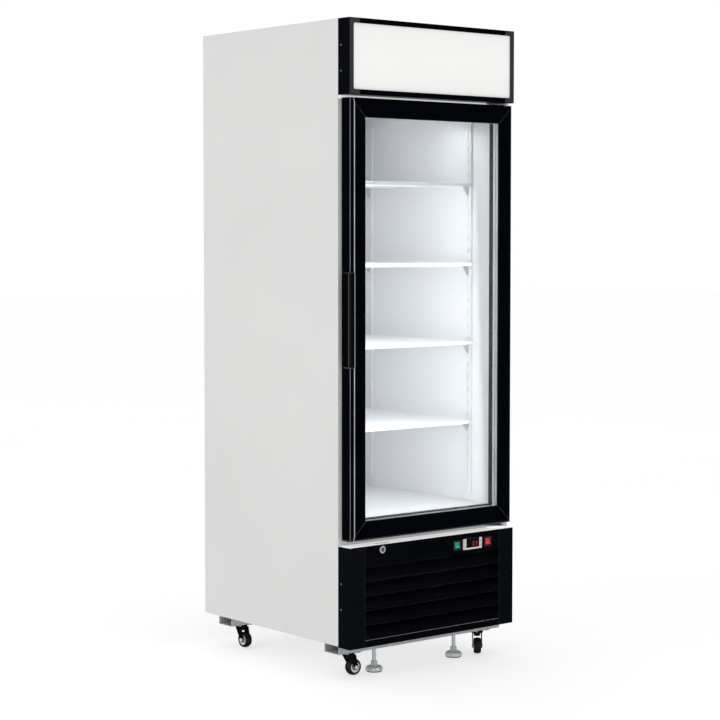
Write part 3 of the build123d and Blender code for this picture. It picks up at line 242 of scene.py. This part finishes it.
screw_grey = finish("screw_grey", (0.16, 0.165, 0.17), (0.24, 0.245, 0.25), rough=(0.3, 0.42), metal=0.2,
                    grain=1200.0, patch=120.0, edge_wear_and_highlight=0.4, edge_wear_and_highlight_colour=(0.4, 0.4, 0.4)).material
chrome = finish("chrome", (0.80, 0.81, 0.82), (0.92, 0.93, 0.93), rough=(0.12, 0.22), metal=0.4,
                grain=1200.0, grain_depth=0.00001, grain_strength=0.15, patch=70.0, edge_wear_and_highlight=0.2).material
silver_plastic = finish("silver_plastic", (0.76, 0.77, 0.77), (0.86, 0.87, 0.87), rough=(0.24, 0.34),
                        metal=0.15, grain=3000.0, grain_depth=0.00002, patch=90.0, edge_wear_and_highlight=0.3).material
glowing_gasket = finish("gasket", (0.78, 0.785, 0.78), (0.86, 0.865, 0.86), rough=(0.5, 0.65), grain=600.0,
                       edge_wear_and_highlight=0.0)
# Painted light: the gasket glows though it is no lamp, so it stays pale where it lies in the door's shade.
glowing_gasket.set(Emission_Color=(1.0, 1.0, 0.99, 1.0), Emission_Strength=0.20)
shelf_white = finish("shelf_white", (0.80, 0.81, 0.83), (0.88, 0.89, 0.91), rough=(0.24, 0.36),
                     grain=700.0, patch=30.0, edge_wear_and_highlight=0.0).material
clip_grey = finish("clip_grey", (0.48, 0.49, 0.50), (0.62, 0.63, 0.64), rough=(0.3, 0.45), metal=0.4,
                   grain=600.0, patch=60.0).material
fin_aluminium = finish("fin_aluminium", (0.55, 0.56, 0.57), (0.7, 0.71, 0.72), rough=(0.3, 0.45),
                       metal=1.0, grain=1200.0, patch=40.0).material
machine_black = finish("machine_black", (0.006, 0.006, 0.007), (0.014, 0.014, 0.015), rough=(0.3, 0.45),
                       grain=900.0, edge_wear_and_highlight=0.5, edge_wear_and_highlight_colour=(0.08, 0.08, 0.08)).material
bush_white = finish("bush_white", (0.7, 0.7, 0.66), (0.8, 0.8, 0.76), rough=(0.35, 0.5), grain=900.0,
                    edge_wear_and_highlight=0.0).material


def lit_panel_material():
    """Back-lit acrylic: soft glow, slightly darker where the lamp is further away."""
    tree = finish("lamp_panel", (0.80, 0.80, 0.785), (0.825, 0.825, 0.81), rough=(0.30, 0.38), grain=900.0,
                  grain_depth=0.00001, grain_strength=0.1, edge_wear_and_highlight=0.0)
    low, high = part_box("canopy_panel")
    middle = (low.z + high.z) / 2
    away = tree.math("ABSOLUTE", tree.math("SUBTRACT", tree.axis("Z"), middle))
    glow = tree.remap(away, 0.248, 0.223, 0.0, (high.z - low.z) / 2)
    tree.set(Emission_Color=(1.0, 0.995, 0.975, 1.0))
    tree.link(glow, tree.shader.inputs["Emission Strength"])
    return tree.material


def frame_finish(name):
    """Gloss black anodised extrusion."""
    return finish(name, (0.0003, 0.0006, 0.0016), (0.0007, 0.0012, 0.0028), rough=(0.10, 0.16),
                  grain=2500.0, grain_depth=0.00001, grain_strength=0.12, stretch=(1.0, 1.0, 0.05),
                  edge=0.0006, edge_wear_and_highlight=0.35, edge_wear_and_highlight_colour=(0.05, 0.05, 0.052), specular=0.28)


def lay_over(tree, mask, colour):
    """Mix one more colour over the base colour where the mask is 1."""
    old = tree.shader.inputs["Base Color"].links[0].from_socket
    tree.link(tree.mix(mask, old, colour), tree.shader.inputs["Base Color"])


def line_mask(tree, distance, middle, half_width):
    """1 in a thin band around one value of a distance."""
    off = tree.math("ABSOLUTE", tree.math("SUBTRACT", distance, middle))
    return tree.math("LESS_THAN", off, half_width)


def door_frame_material():
    """Door extrusion: painted highlights along its mitre joints, its left bevel and its bottom."""
    tree = frame_finish("door_frame")
    low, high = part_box("door_stiles")
    centre, half = (low + high) / 2, (high - low) / 2
    bevel_width = 0.014
    front_depth = 0.0052
    inwards = []
    for name, middle, reach in (("X", centre.x, half.x), ("Z", centre.z, half.z)):
        from_middle = tree.math("ABSOLUTE", tree.math("SUBTRACT", tree.axis(name), middle))
        inwards.append(tree.math("SUBTRACT", reach, from_middle))
    # Painted highlight: a pale line along each mitre joint.
    joint = line_mask(tree, tree.math("SUBTRACT", inwards[0], inwards[1]), 0.0, 0.0006)
    joint = tree.math("MULTIPLY", joint, tree.math("LESS_THAN", inwards[0], FRAME_WIDTH))
    lay_over(tree, joint, (0.075, 0.078, 0.08))
    from_left = tree.math("SUBTRACT", tree.axis("X"), low.x)
    on_front = tree.math("LESS_THAN", tree.axis("Y"), low.y + front_depth)
    # Painted highlights along the left bevel's outer and inner edges, with uneven strength along their
    # length.
    highlight_fade = tree.remap(tree.noise(6.0), 0.55, 1.0)
    for place, half_width, colour in ((0.0010, 0.0010, (0.26, 0.265, 0.27)),
                                      (bevel_width, 0.0013, (0.72, 0.725, 0.73))):
        highlight = tree.math("MULTIPLY", line_mask(tree, from_left, place, half_width), on_front)
        lay_over(tree, tree.math("MULTIPLY", highlight, highlight_fade), colour)
    # Painted highlight: a thin pale line along the bottom bevel.
    from_bottom = tree.math("SUBTRACT", tree.axis("Z"), low.z)
    lay_over(tree, line_mask(tree, from_bottom, 0.0035, 0.0007), (0.07, 0.072, 0.075))
    return tree.material


def handle_material():
    """Satin black moulded pull, with highlights drawn along its rims."""
    tree = finish("handle_black", (0.0006, 0.0008, 0.0014), (0.0012, 0.0015, 0.0024), rough=(0.20, 0.30),
                  grain=1800.0, grain_depth=0.00002, grain_strength=0.25, edge=0.0010, edge_wear_and_highlight=0.8,
                  edge_wear_and_highlight_colour=(0.10, 0.10, 0.105), specular=0.14)
    low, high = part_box("door_handle")
    for name, middle, half_width, colour in (
        ("X", high.x - 0.0012, 0.0010, (0.50, 0.505, 0.51)),
        ("X", low.x + 0.0009, 0.0006, (0.05, 0.05, 0.052)),
        ("Z", low.z + 0.0012, 0.0009, (0.09, 0.092, 0.095)),
        ("Z", high.z - 0.0012, 0.0009, (0.05, 0.05, 0.052)),
    ):
        lay_over(tree, line_mask(tree, tree.axis(name), middle, half_width), colour)
    return tree.material


def lower_panel_material():
    """Black enamelled panel: slightly lighter end columns, with a thin lighter line beside the louvres."""
    tree = finish("lower_panel_paint", (0.0005, 0.0009, 0.0020), (0.0010, 0.0016, 0.0030),
                  rough=(0.30, 0.40), grain=1500.0, grain_depth=0.000025, grain_strength=0.3, edge_wear_and_highlight=0.5,
                  edge_wear_and_highlight_colour=(0.035, 0.036, 0.038), specular=0.14)
    slats_low, slats_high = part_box("louvre_slats")
    middle = (slats_low.x + slats_high.x) / 2
    reach = (slats_high.x - slats_low.x) / 2 + 0.002
    from_middle = tree.math("ABSOLUTE", tree.math("SUBTRACT", tree.axis("X"), middle))
    lay_over(tree, tree.math("GREATER_THAN", from_middle, reach), (0.0022, 0.0034, 0.0052))
    lay_over(tree, line_mask(tree, from_middle, reach, 0.0007), (0.018, 0.019, 0.021))
    return tree.material


def spacer_material():
    """Mill aluminium spacer bar: drawn grain along its length and a few dark fixing dots."""
    tree = finish("spacer_aluminium", (0.74, 0.75, 0.75), (0.86, 0.865, 0.865), rough=(0.26, 0.36),
                  metal=0.2, grain=1500.0, stretch=(1.0, 6.0, 0.03), patch=12.0, edge_wear_and_highlight=0.2)
    low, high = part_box("pane_spacers")
    dot_pitch = 0.26
    dot_radius = 0.0014
    turn = tree.math("FRACT", tree.math("DIVIDE", tree.axis("Z"), dot_pitch))
    up = tree.math("MULTIPLY", tree.math("SUBTRACT", turn, 0.5), dot_pitch)
    across = tree.math("SUBTRACT", tree.axis("Y"), low.y + (high.y - low.y) * 0.82)
    squares = [tree.math("MULTIPLY", side, side) for side in (up, across)]
    span = tree.math("SQRT", tree.math("ADD", *squares))
    dot = tree.math("LESS_THAN", span, dot_radius)
    lay_over(tree, dot, (0.12, 0.12, 0.12))
    return tree.material


def glass_material():
    """Clear float glass that lets lamps through, with a faint green body colour."""
    tree = Tree("glass")
    tree.set(Transmission_Weight=1.0, IOR=1.45, Specular_IOR_Level=0.35)
    smear = tree.noise(3.0, 6.0)
    tint = tree.mix(tree.remap(smear, 0.0, 1.0), (0.978, 0.986, 0.986), (0.988, 0.994, 0.995))
    tree.link(tint, tree.shader.inputs["Base Color"])
    tree.link(tree.remap(tree.noise(9.0, 5.0), 0.0, 0.012), tree.shader.inputs["Roughness"])
    clear = tree.nodes.new("ShaderNodeBsdfTransparent")
    clear.inputs[0].default_value = (0.96, 0.97, 0.97, 1.0)
    path = tree.nodes.new("ShaderNodeLightPath")
    mixer = tree.nodes.new("ShaderNodeMixShader")
    tree.link(path.outputs["Is Shadow Ray"], mixer.inputs[0])
    tree.link(tree.shader.outputs[0], mixer.inputs[1])
    tree.link(clear.outputs[0], mixer.inputs[2])
    tree.link(mixer.outputs[0], tree.output.inputs[0])
    return tree.material


def rocker_material(name, dark, light, glow):
    """Tinted translucent rocker key with a neon behind it."""
    tree = finish(name, dark, light, rough=(0.18, 0.3), grain=900.0, patch=150.0, edge_wear_and_highlight=0.2,
                  edge_wear_and_highlight_colour=tuple(min(1.0, channel + 0.15) for channel in light), coat=0.3)
    tree.set(Emission_Color=(*light, 1.0), Emission_Strength=glow)
    return tree.material


def wheel_material(place):
    """Black tread and hub with a pale ring between them, by distance from the wheel's middle."""
    low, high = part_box(f"caster_wheel_{place}")
    centre = (low + high) / 2
    tree = finish(f"wheel_{place}", (0.006, 0.006, 0.006), (0.014, 0.014, 0.014), rough=(0.45, 0.6),
                  grain=1200.0, grain_depth=0.00008, edge_wear_and_highlight=0.4, edge_wear_and_highlight_colour=(0.06, 0.06, 0.06))
    node = tree.nodes.new("ShaderNodeVectorMath")
    node.operation = "DISTANCE"
    node.inputs[1].default_value = centre
    tree.link(tree.place, node.inputs[0])
    span = node.outputs["Value"]
    inner = tree.math("GREATER_THAN", span, 0.0125)
    outer = tree.math("LESS_THAN", span, 0.0195)
    ring = tree.math("MULTIPLY", inner, outer)
    lay_over(tree, ring, (0.80, 0.81, 0.81))
    return tree.material


def fork_material(place):
    """Black enamelled fork with a bright zinc axle nut on each side."""
    tree = finish(f"fork_{place}", (0.0016, 0.0018, 0.0022), (0.004, 0.0043, 0.005), rough=(0.25, 0.38),
                  grain=1500.0, grain_depth=0.00004, edge_wear_and_highlight=0.6, edge_wear_and_highlight_colour=(0.10, 0.10, 0.10), specular=0.3)
    low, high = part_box(f"caster_wheel_{place}")
    roll = next(joint for joint in frame["joints"] if joint["name"] == f"{place}_roll")
    from_axle = tree.nodes.new("ShaderNodeVectorMath")
    from_axle.operation = "SUBTRACT"
    from_axle.inputs[1].default_value = (low + high) / 2
    tree.link(tree.place, from_axle.inputs[0])
    around = tree.nodes.new("ShaderNodeVectorMath")
    around.operation = "CROSS_PRODUCT"
    around.inputs[1].default_value = roll["axis"]
    tree.link(from_axle.outputs[0], around.inputs[0])
    radius = tree.nodes.new("ShaderNodeVectorMath")
    radius.operation = "LENGTH"
    tree.link(around.outputs[0], radius.inputs[0])
    nut = tree.math("LESS_THAN", radius.outputs["Value"], 0.0058)
    lay_over(tree, nut, (0.72, 0.73, 0.73))
    return tree.material


def foot_material():
    """Bright zinc foot with a black rubber sole and a threaded rod."""
    tree = finish("foot_zinc", (0.86, 0.87, 0.87), (0.97, 0.975, 0.975), rough=(0.16, 0.28),
                  grain=900.0, patch=80.0, edge_wear_and_highlight=0.3)
    height = tree.axis("Z")
    sole = tree.math("LESS_THAN", height, 0.0029)
    lay_over(tree, sole, (0.01, 0.01, 0.01))
    tree.link(tree.math("MULTIPLY", tree.math("SUBTRACT", 1.0, sole), 0.4), tree.shader.inputs["Metallic"])
    thread = tree.math("SINE", tree.math("MULTIPLY", height, 2 * pi / 0.00175))
    on_rod = tree.math("GREATER_THAN", height, 0.0312)
    tree.bump(tree.math("MULTIPLY", thread, on_rod), 0.5, 0.0003, 0.0006)
    return tree.material


def display_material():
    """Smoked window that the digits stand on."""
    tree = finish("display_window", (0.004, 0.003, 0.003), (0.008, 0.006, 0.006), rough=(0.06, 0.12),
                  grain=900.0, grain_depth=0.000005, patch=60.0, edge_wear_and_highlight=0.2, coat=0.5)
    return tree.material


glass = glass_material()
dress(casing_paint, "outer_casing")
dress(galvanised, "back_panel", "base_pan", "base_channels")
dress(liner_white, "inner_liner")
dress(foam, "insulation")
dress(black_plastic, "breaker_frame", "cable_gland")
dress(handle_material(), "door_handle")
dress(switch_black, "switch_housings")
dress(black_metal, "canopy_housing", "rear_grille")
dress(lower_panel_material(), "lower_panel")
dress(louvre_black, "louvre_slats")
dress(frame_finish("canopy_frame").material, "canopy_rails")
dress(door_frame_material(), "door_stiles", "door_rails")
dress(dark_grey_plastic, "canopy_end_frames")
dress(lit_panel_material(), "canopy_panel")
dress(cover_white, "evaporator_cover", "pilasters", "canopy_lamp")
dress(zinc, "hinge_brackets", "hinge_pins")
dress(screw_grey, "side_screws")
dress(chrome, "lock_housing")
dress(zinc_dark, "lock_cylinder")
dress(rocker_material("green_rocker", (0.0, 0.16, 0.075), (0.005, 0.32, 0.17), 0.35), "power_rocker")
dress(rocker_material("red_rocker", (0.35, 0.012, 0.02), (0.62, 0.03, 0.05), 0.35), "lamp_rocker")
dress(silver_plastic, "controller_bezel", "button_set", "button_defrost", "button_up", "button_down")
dress(display_material(), "controller_display")
dress(clip_grey, "shelf_clips")
dress(shelf_white, *[f"shelf_{number}" for number in range(1, 5)])
dress(fin_aluminium, "evaporator_coil", "condenser")
dress(machine_black, "evaporator_fan", "condenser_fan", "compressor")
dress(glass, "glass_panes")
dress(spacer_material(), "pane_spacers")
dress(glowing_gasket.material, "door_gasket")
dress(bush_white, "hinge_bushes")
dress(foot_material(), "foot_left", "foot_right")
PLACES = ("front_left", "front_right", "rear_left", "rear_right")
dress(black_plastic, "caster_plates")
for place in PLACES:
    dress(fork_material(place), f"caster_fork_{place}")
    dress(wheel_material(place), f"caster_wheel_{place}")


# ---------------------------------------------------------------- extra pieces
def mesh_piece(name, build, material, body):
    """Make one mesh piece from a function that fills a bmesh, and let it ride on a body."""
    shape = bmesh.new()
    build(shape)
    bmesh.ops.recalc_face_normals(shape, faces=shape.faces)
    data = bpy.data.meshes.new(name)
    shape.to_mesh(data)
    shape.free()
    data.materials.append(material)
    piece = bpy.data.objects.new(name, data)
    bpy.context.scene.collection.objects.link(piece)
    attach(piece, body)
    return piece


def add_bar(shape, low, high, bevel=0.0):
    """Box between two corners, with softened edges where a bevel is given."""
    low, high = Vector(low), Vector(high)
    size = high - low
    made = bmesh.ops.create_cube(shape, size=1.0)["verts"]
    bmesh.ops.scale(shape, vec=size, verts=made)
    bmesh.ops.translate(shape, vec=(low + high) / 2, verts=made)
    if bevel:
        edges = {edge for vert in made for edge in vert.link_edges}
        bmesh.ops.bevel(shape, geom=list(edges), offset=bevel, segments=2, profile=0.6,
                        affect="EDGES", clamp_overlap=True)


def add_disc(shape, centre, axis, radius, depth, segments=32, bevel=0.0):
    """Short cylinder around a point, with softened rims where a bevel is given."""
    turn = Vector((0, 0, 1)).rotation_difference(Vector(axis)).to_matrix().to_4x4()
    made = bmesh.ops.create_cone(
        shape, cap_ends=True, segments=segments, radius1=radius, radius2=radius, depth=depth,
        matrix=Matrix.Translation(centre) @ turn,
    )["verts"]
    if bevel:
        edges = {edge for vert in made for edge in vert.link_edges if len(edge.link_faces) == 2
                 and any(len(face.verts) > 4 for face in edge.link_faces)}
        bmesh.ops.bevel(shape, geom=list(edges), offset=bevel, segments=2, profile=0.6,
                        affect="EDGES", clamp_overlap=True)


def add_ring(shape, low, high, inset, y_low, y_high):
    """Rectangular picture-frame ring in the XZ plane."""
    (x0, z0), (x1, z1) = low, high
    outer = [(x0, z0), (x1, z0), (x1, z1), (x0, z1)]
    inner = [(x0 + inset, z0 + inset), (x1 - inset, z0 + inset), (x1 - inset, z1 - inset),
             (x0 + inset, z1 - inset)]
    rows = [[shape.verts.new((x, y, z)) for x, z in path]
            for path, y in ((outer, y_low), (inner, y_low), (inner, y_high), (outer, y_high))]
    for row, after in zip(rows, rows[1:] + rows[:1]):
        for corner in range(4):
            following = (corner + 1) % 4
            shape.faces.new((row[corner], row[following], after[following], after[corner]))


# Lit bars of each figure: top, upper left, upper right, middle, lower left, lower right, bottom.
SEGMENTS = {
    "0": "1110111",
    "3": "1011011",
}
BAR_PLACES = ((0, 1, True), (-0.5, 0.5, False), (0.5, 0.5, False), (0, 0, True),
              (-0.5, -0.5, False), (0.5, -0.5, False), (0, -1, True))


def add_figure(shape, x, y, z, height, lit):
    """One seven-bar figure, leaning slightly as on such displays."""
    half = height / 2
    long = half * 0.42
    side = height * 0.13 / 2
    lean = 0.09
    for (across, up, level), state in zip(BAR_PLACES, lit):
        if state == "0":
            continue
        centre_x = x + across * half * 1.05 + up * half * lean
        centre_z = z + up * half
        points = [(-long, 0), (-long + side, side), (long - side, side), (long, 0),
                  (long - side, -side), (-long + side, -side)]
        if not level:
            points = [(b, a) for a, b in points]
        front = [shape.verts.new((centre_x + a + b * lean, y, centre_z + b)) for a, b in points]
        back = [shape.verts.new((centre_x + a + b * lean, y + 0.0002, centre_z + b)) for a, b in points]
        shape.faces.new(front)
        shape.faces.new(reversed(back))
        for index in range(6):
            following = (index + 1) % 6
            shape.faces.new((front[index], front[following], back[following], back[index]))


def glow_material(name, colour, strength):
    """Lit surface with a slightly uneven glow."""
    tree = finish(name, tuple(channel * 0.5 for channel in colour), colour, rough=(0.3, 0.4), patch=400.0,
                  edge_wear_and_highlight=0.0)
    tree.set(Emission_Color=(*colour, 1.0))
    glow = tree.remap(tree.noise(500.0), strength * 0.85, strength)
    tree.link(glow, tree.shader.inputs["Emission Strength"])
    return tree.material


def make_display_digits():
    """Generic red temperature figures on the controller's window."""
    low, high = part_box("controller_display")
    middle_z = (low.z + high.z) / 2
    figure_height = 0.011
    first_x = low.x + (high.x - low.x) * 0.66
    pitch = 0.0095

    def build(shape):
        for place, figure in enumerate("03"):
            add_figure(shape, first_x + (place - 0.5) * pitch * 1.25, low.y - 0.0003, middle_z - 0.0025,
                       figure_height, SEGMENTS[figure])

    mesh_piece("display_digits", build, glow_material("led_red", (0.62, 0.015, 0.02), 0.9), "cabinet")


def mark_material():
    return finish("white_mark", (0.7, 0.7, 0.7), (0.85, 0.85, 0.85), rough=(0.4, 0.5), patch=300.0,
                  edge_wear_and_highlight=0.0).material


white_mark = mark_material()


def make_rocker_marks():
    """Circle on the lower half of each rocker's face, and a line above it.

    The line follows the slope of the lower half, so most of it lies inside the key.
    """
    face_inset, circle_height = 0.00157, 0.0052
    steps = 20
    outer, inner = 0.0022, 0.0016
    bar_half, bar_low, bar_high = 0.0004, 0.0045, 0.0075
    for rocker, body in (("power_rocker", "power_switch"), ("lamp_rocker", "lamp_switch")):
        low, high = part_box(rocker)
        centre_x = (low.x + high.x) / 2
        face_up = Vector((0, sin(SWITCH_TILT), cos(SWITCH_TILT)))
        start = Vector((centre_x, low.y + face_inset, low.z + circle_height))

        def build(shape, start=start, face_up=face_up):
            def face(points):
                places = [start + Vector((across, 0, 0)) + face_up * up for across, up in points]
                shape.faces.new([shape.verts.new(place) for place in places])

            for index in range(steps):
                angle = 2 * pi * index / steps
                after = 2 * pi * (index + 1) / steps
                face([(cos(turn) * radius, sin(turn) * radius)
                      for turn, radius in ((angle, outer), (after, outer), (after, inner), (angle, inner))])
            face([(-bar_half, bar_low), (bar_half, bar_low), (bar_half, bar_high), (-bar_half, bar_high)])

        mesh_piece(f"{rocker}_mark", build, white_mark, body)


def make_button_marks():
    """Small printed arrows, a bar and a diamond on the controller keys."""
    ink = finish("key_ink", (0.02, 0.02, 0.02), (0.05, 0.05, 0.05), rough=(0.4, 0.5), patch=300.0,
                 edge_wear_and_highlight=0.0).material
    outlines = {
        "button_up": (((-0.002, -0.0014), (0.002, -0.0014), (0, 0.0018)), "up_key"),
        "button_down": (((-0.002, 0.0014), (0, -0.0018), (0.002, 0.0014)), "down_key"),
        "button_set": (((-0.0018, -0.0005), (0.0018, -0.0005), (0.0018, 0.0005), (-0.0018, 0.0005)),
                       "set_key"),
        "button_defrost": (((-0.0016, 0), (0, -0.0016), (0.0016, 0), (0, 0.0016)), "defrost_key"),
    }
    for key, (outline, body) in outlines.items():
        low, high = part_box(key)
        centre = (low + high) / 2

        def build(shape, outline=outline, low=low, centre=centre):
            shape.faces.new([shape.verts.new((centre.x + a, low.y - 0.00005, centre.z + b))
                             for a, b in outline])

        mesh_piece(f"{key}_mark", build, ink, body)


def make_glazing_seal():
    """Thin black rubber bead between the front lip of the door frame and the glass."""
    glass_low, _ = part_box("glass_panes")
    stile_low, stile_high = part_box("door_stiles")
    bead = 0.0022
    inner_low = (stile_low.x + FRAME_WIDTH, stile_low.z + FRAME_WIDTH)
    inner_high = (stile_high.x - FRAME_WIDTH, stile_high.z - FRAME_WIDTH)

    def build(shape):
        add_ring(shape, inner_low, inner_high, bead, glass_low.y - 0.0018, glass_low.y - 0.00005)

    seal = finish("glazing_rubber", (0.004, 0.004, 0.004), (0.010, 0.010, 0.010), rough=(0.5, 0.65),
                  grain=1500.0, edge_wear_and_highlight=0.0, specular=0.25).material
    mesh_piece("glazing_seal", build, seal, "door")


def make_interior_lamp():
    """Slim lamp strip up the latch side, inside the front edge of the liner."""
    _, breaker_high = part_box("breaker_frame")
    liner_low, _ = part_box("inner_liner")
    wall_x = liner_low.x + 0.0015

    def build(shape):
        add_bar(shape, (wall_x + 0.0002, breaker_high.y + 0.004, liner_low.z + 0.05),
                (wall_x + 0.010, breaker_high.y + 0.016, liner_low.z + 1.17), bevel=0.002)

    mesh_piece("interior_lamp", build, glow_material("lamp_strip", (1.0, 1.0, 1.0), 4.0), "cabinet")


def make_gap_trims():
    """Pale strips that show in the gaps above and below the door, glowing as painted light where the gaps
    lie in shade.
    """
    casing_low, casing_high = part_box("outer_casing")
    panel_low, panel_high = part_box("lower_panel")
    lock_low, lock_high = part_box("lock_cylinder")
    housing_low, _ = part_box("canopy_housing")
    _, door_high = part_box("door_stiles")
    sheet = 0.0005
    side = 0.0015
    slot_left, slot_right = lock_low.x - 0.004, lock_high.x + 0.006
    slot_front, slot_back = lock_high.y - 0.0055, lock_high.y + 0.003
    face_y = casing_low.y
    gap_glow_trim = finish("gap_trim_glow", (0.80, 0.81, 0.81), (0.92, 0.925, 0.92), rough=(0.25, 0.4), grain=700.0,
                  patch=20.0, edge_wear_and_highlight=0.2, stretch=(0.2, 6.0, 6.0))
    # Painted light: the strips glow though they are no lamp, to brighten the shaded gaps.
    gap_glow_trim.set(Emission_Color=(1.0, 1.0, 1.0, 1.0), Emission_Strength=0.50)

    def build_sill(shape):
        left, right = panel_low.x + side, panel_high.x - side
        for x_low, x_high, y_low, y_high in (
            (left, right, panel_low.y + 0.003, slot_front),
            (left, slot_left, slot_front, slot_back),
            (slot_right, right, slot_front, slot_back),
            (left, right, slot_back, face_y - 0.0001),
        ):
            add_bar(shape, (x_low, y_low, panel_high.z + 0.0001), (x_high, y_high, panel_high.z + sheet))

    def build_header(shape):
        add_bar(shape, (casing_low.x + side, face_y - 0.0001 - sheet, door_high.z - 0.002),
                (casing_high.x - 0.070, face_y - 0.0001, housing_low.z + 0.002))

    mesh_piece("sill_glow_strip", build_sill, gap_glow_trim.material, "cabinet")
    mesh_piece("header_glow_strip", build_header, gap_glow_trim.material, "cabinet")


def make_back_screws():
    """Screw heads down both sides of the back panel, and along the top and bottom of the rear grille."""
    low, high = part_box("back_panel")
    grille_low, grille_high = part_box("rear_grille")
    from_edge = 0.012

    def build(shape):
        places = [(x, low.z + 0.03 + (high.z - low.z - 0.06) * row / 5)
                  for row in range(6) for x in (low.x + from_edge, high.x - from_edge)]
        places += [(x, z) for x in (grille_low.x + from_edge, 0.0, grille_high.x - from_edge)
                   for z in (grille_low.z + from_edge, grille_high.z - from_edge)]
        for x, z in places:
            add_disc(shape, (x, high.y + 0.0007, z), (0, 1, 0), radius=0.0035, depth=0.0013,
                     segments=20, bevel=0.0004)

    mesh_piece("back_screws", build, zinc, "cabinet")


def make_caster_details():
    """Bolts that hold each caster's plate to the base channels."""
    def build(shape):
        plate_low, plate_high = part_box("caster_plates")
        for x_side in (-1, 1):
            for plate_y in (plate_low.y + 0.03, plate_high.y - 0.03):
                centre_x = x_side * (plate_high.x - 0.03)
                for dx in (-0.022, 0.022):
                    for dy in (-0.022, 0.022):
                        add_disc(shape, (centre_x + dx, plate_y + dy, plate_high.z - 0.0025 - 0.0015),
                                 (0, 0, 1), radius=0.0045, depth=0.003, segments=6, bevel=0.0004)

    mesh_piece("caster_plate_bolts", build, zinc, "cabinet")


make_display_digits()
make_rocker_marks()
make_button_marks()
make_glazing_seal()
make_interior_lamp()
make_gap_trims()
make_back_screws()
make_caster_details()


# ---------------------------------------------------------------- stage and light
FILL_LIGHT = (0.70, 0.70, 0.70, 1.0)
BACKDROP = (1.0, 1.0, 1.0, 1.0)
DIM_SURROUND = (0.018, 0.028, 0.048, 1.0)  # what glossy surfaces mirror


def make_stage():
    """Plain pale floor that runs out past the view, and that glossy surfaces mirror as dim."""
    data = bpy.data.meshes.new("floor")
    reach = 30.0
    data.from_pydata([(-reach, -reach, 0), (reach, -reach, 0), (reach, reach, 0), (-reach, reach, 0)],
                     [], [(0, 1, 2, 3)])
    floor = bpy.data.objects.new("floor", data)
    tree = Tree("floor_paint")
    tone = tree.mix(tree.remap(tree.noise(0.4), 0.0, 1.0), (0.60, 0.60, 0.60), (0.62, 0.62, 0.62))
    tree.link(tone, tree.shader.inputs["Base Color"])
    tree.set(Roughness=0.9, Specular_IOR_Level=0.1)
    tree.set(Emission_Color=(1.0, 1.0, 1.0, 1.0), Emission_Strength=0.58)
    mirrored = tree.nodes.new("ShaderNodeEmission")
    mirrored.inputs["Color"].default_value = DIM_SURROUND
    path = tree.nodes.new("ShaderNodeLightPath")
    mixer = tree.nodes.new("ShaderNodeMixShader")
    tree.link(tree.math("GREATER_THAN", path.outputs["Glossy Depth"], 0.5), mixer.inputs[0])
    tree.link(tree.shader.outputs[0], mixer.inputs[1])
    tree.link(mirrored.outputs[0], mixer.inputs[2])
    tree.link(mixer.outputs[0], tree.output.inputs[0])
    data.materials.append(tree.material)
    bpy.context.scene.collection.objects.link(floor)


def make_world():
    """White backdrop, also through the glass, soft fill from all around, dim surround in reflections."""
    world = bpy.data.worlds.new("world")
    world.use_nodes = True
    nodes = world.node_tree.nodes
    links = world.node_tree.links
    path = nodes.new("ShaderNodeLightPath")

    def combine(operation, first, second):
        node = nodes.new("ShaderNodeMath")
        node.operation = operation
        for socket, value in zip(node.inputs, (first, second)):
            if isinstance(value, float):
                socket.default_value = value
            else:
                links.new(value, socket)
        return node.outputs[0]

    def choose(factor, otherwise, chosen):
        node = nodes.new("ShaderNodeMix")
        node.data_type = "RGBA"
        links.new(factor, node.inputs[0])
        for socket, colour in ((node.inputs[6], otherwise), (node.inputs[7], chosen)):
            if isinstance(colour, tuple):
                socket.default_value = colour
            else:
                links.new(colour, socket)
        return node.outputs[2]

    through_glass = combine("MULTIPLY", combine("GREATER_THAN", path.outputs["Transmission Depth"], 0.5),
                            combine("LESS_THAN", path.outputs["Diffuse Depth"], 0.5))
    straight = combine("MAXIMUM", path.outputs["Is Camera Ray"], through_glass)
    mirrored = combine("GREATER_THAN", path.outputs["Glossy Depth"], 0.5)
    seen = choose(straight, FILL_LIGHT, BACKDROP)
    links.new(choose(mirrored, seen, DIM_SURROUND), nodes["Background"].inputs[0])
    bpy.context.scene.world = world


def make_light(name, place, target, size, power, mirrored_only=False):
    """Soft rectangular lamp aimed at a point, or one that only glossy surfaces show."""
    data = bpy.data.lights.new(name, "AREA")
    data.shape = "RECTANGLE"
    data.size, data.size_y = size
    data.energy = power
    lamp = bpy.data.objects.new(name, data)
    lamp.location = place
    lamp.rotation_euler = (Vector(target) - Vector(place)).to_track_quat("-Z", "Y").to_euler()
    lamp.visible_diffuse = not mirrored_only
    bpy.context.scene.collection.objects.link(lamp)


make_stage()
make_world()
bpy.context.scene.view_settings.view_transform = "Standard"
make_light("left_softbox", (-5.0, 0.5, 1.8), (-0.33, 0.0, 1.0), (2.4, 3.0), 45.0)
make_light("front_strip_left", (-4.6, -5.6, 1.2), (0.0, -0.3, 1.1), (0.22, 2.8), 45.0, mirrored_only=True)
make_light("front_strip_right", (1.2, -5.5, 1.2), (0.0, -0.3, 1.1), (0.22, 2.8), 45.0, mirrored_only=True)
inner_low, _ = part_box("inner_liner")
make_light("cabinet_lamp", (0.0, inner_low.y + 0.10, 1.66), (0.0, 0.02, 0.5), (0.5, 0.14), 0.5)
make_light("cabinet_fill", (0.0, inner_low.y + 0.03, 0.98), (0.0, 0.3, 0.95), (0.52, 1.0), 2.3)
make_light("cabinet_side_fill", (inner_low.x + 0.02, inner_low.y + 0.20, 1.16),
           (0.3, inner_low.y + 0.16, 1.16), (0.16, 1.05), 1.5)
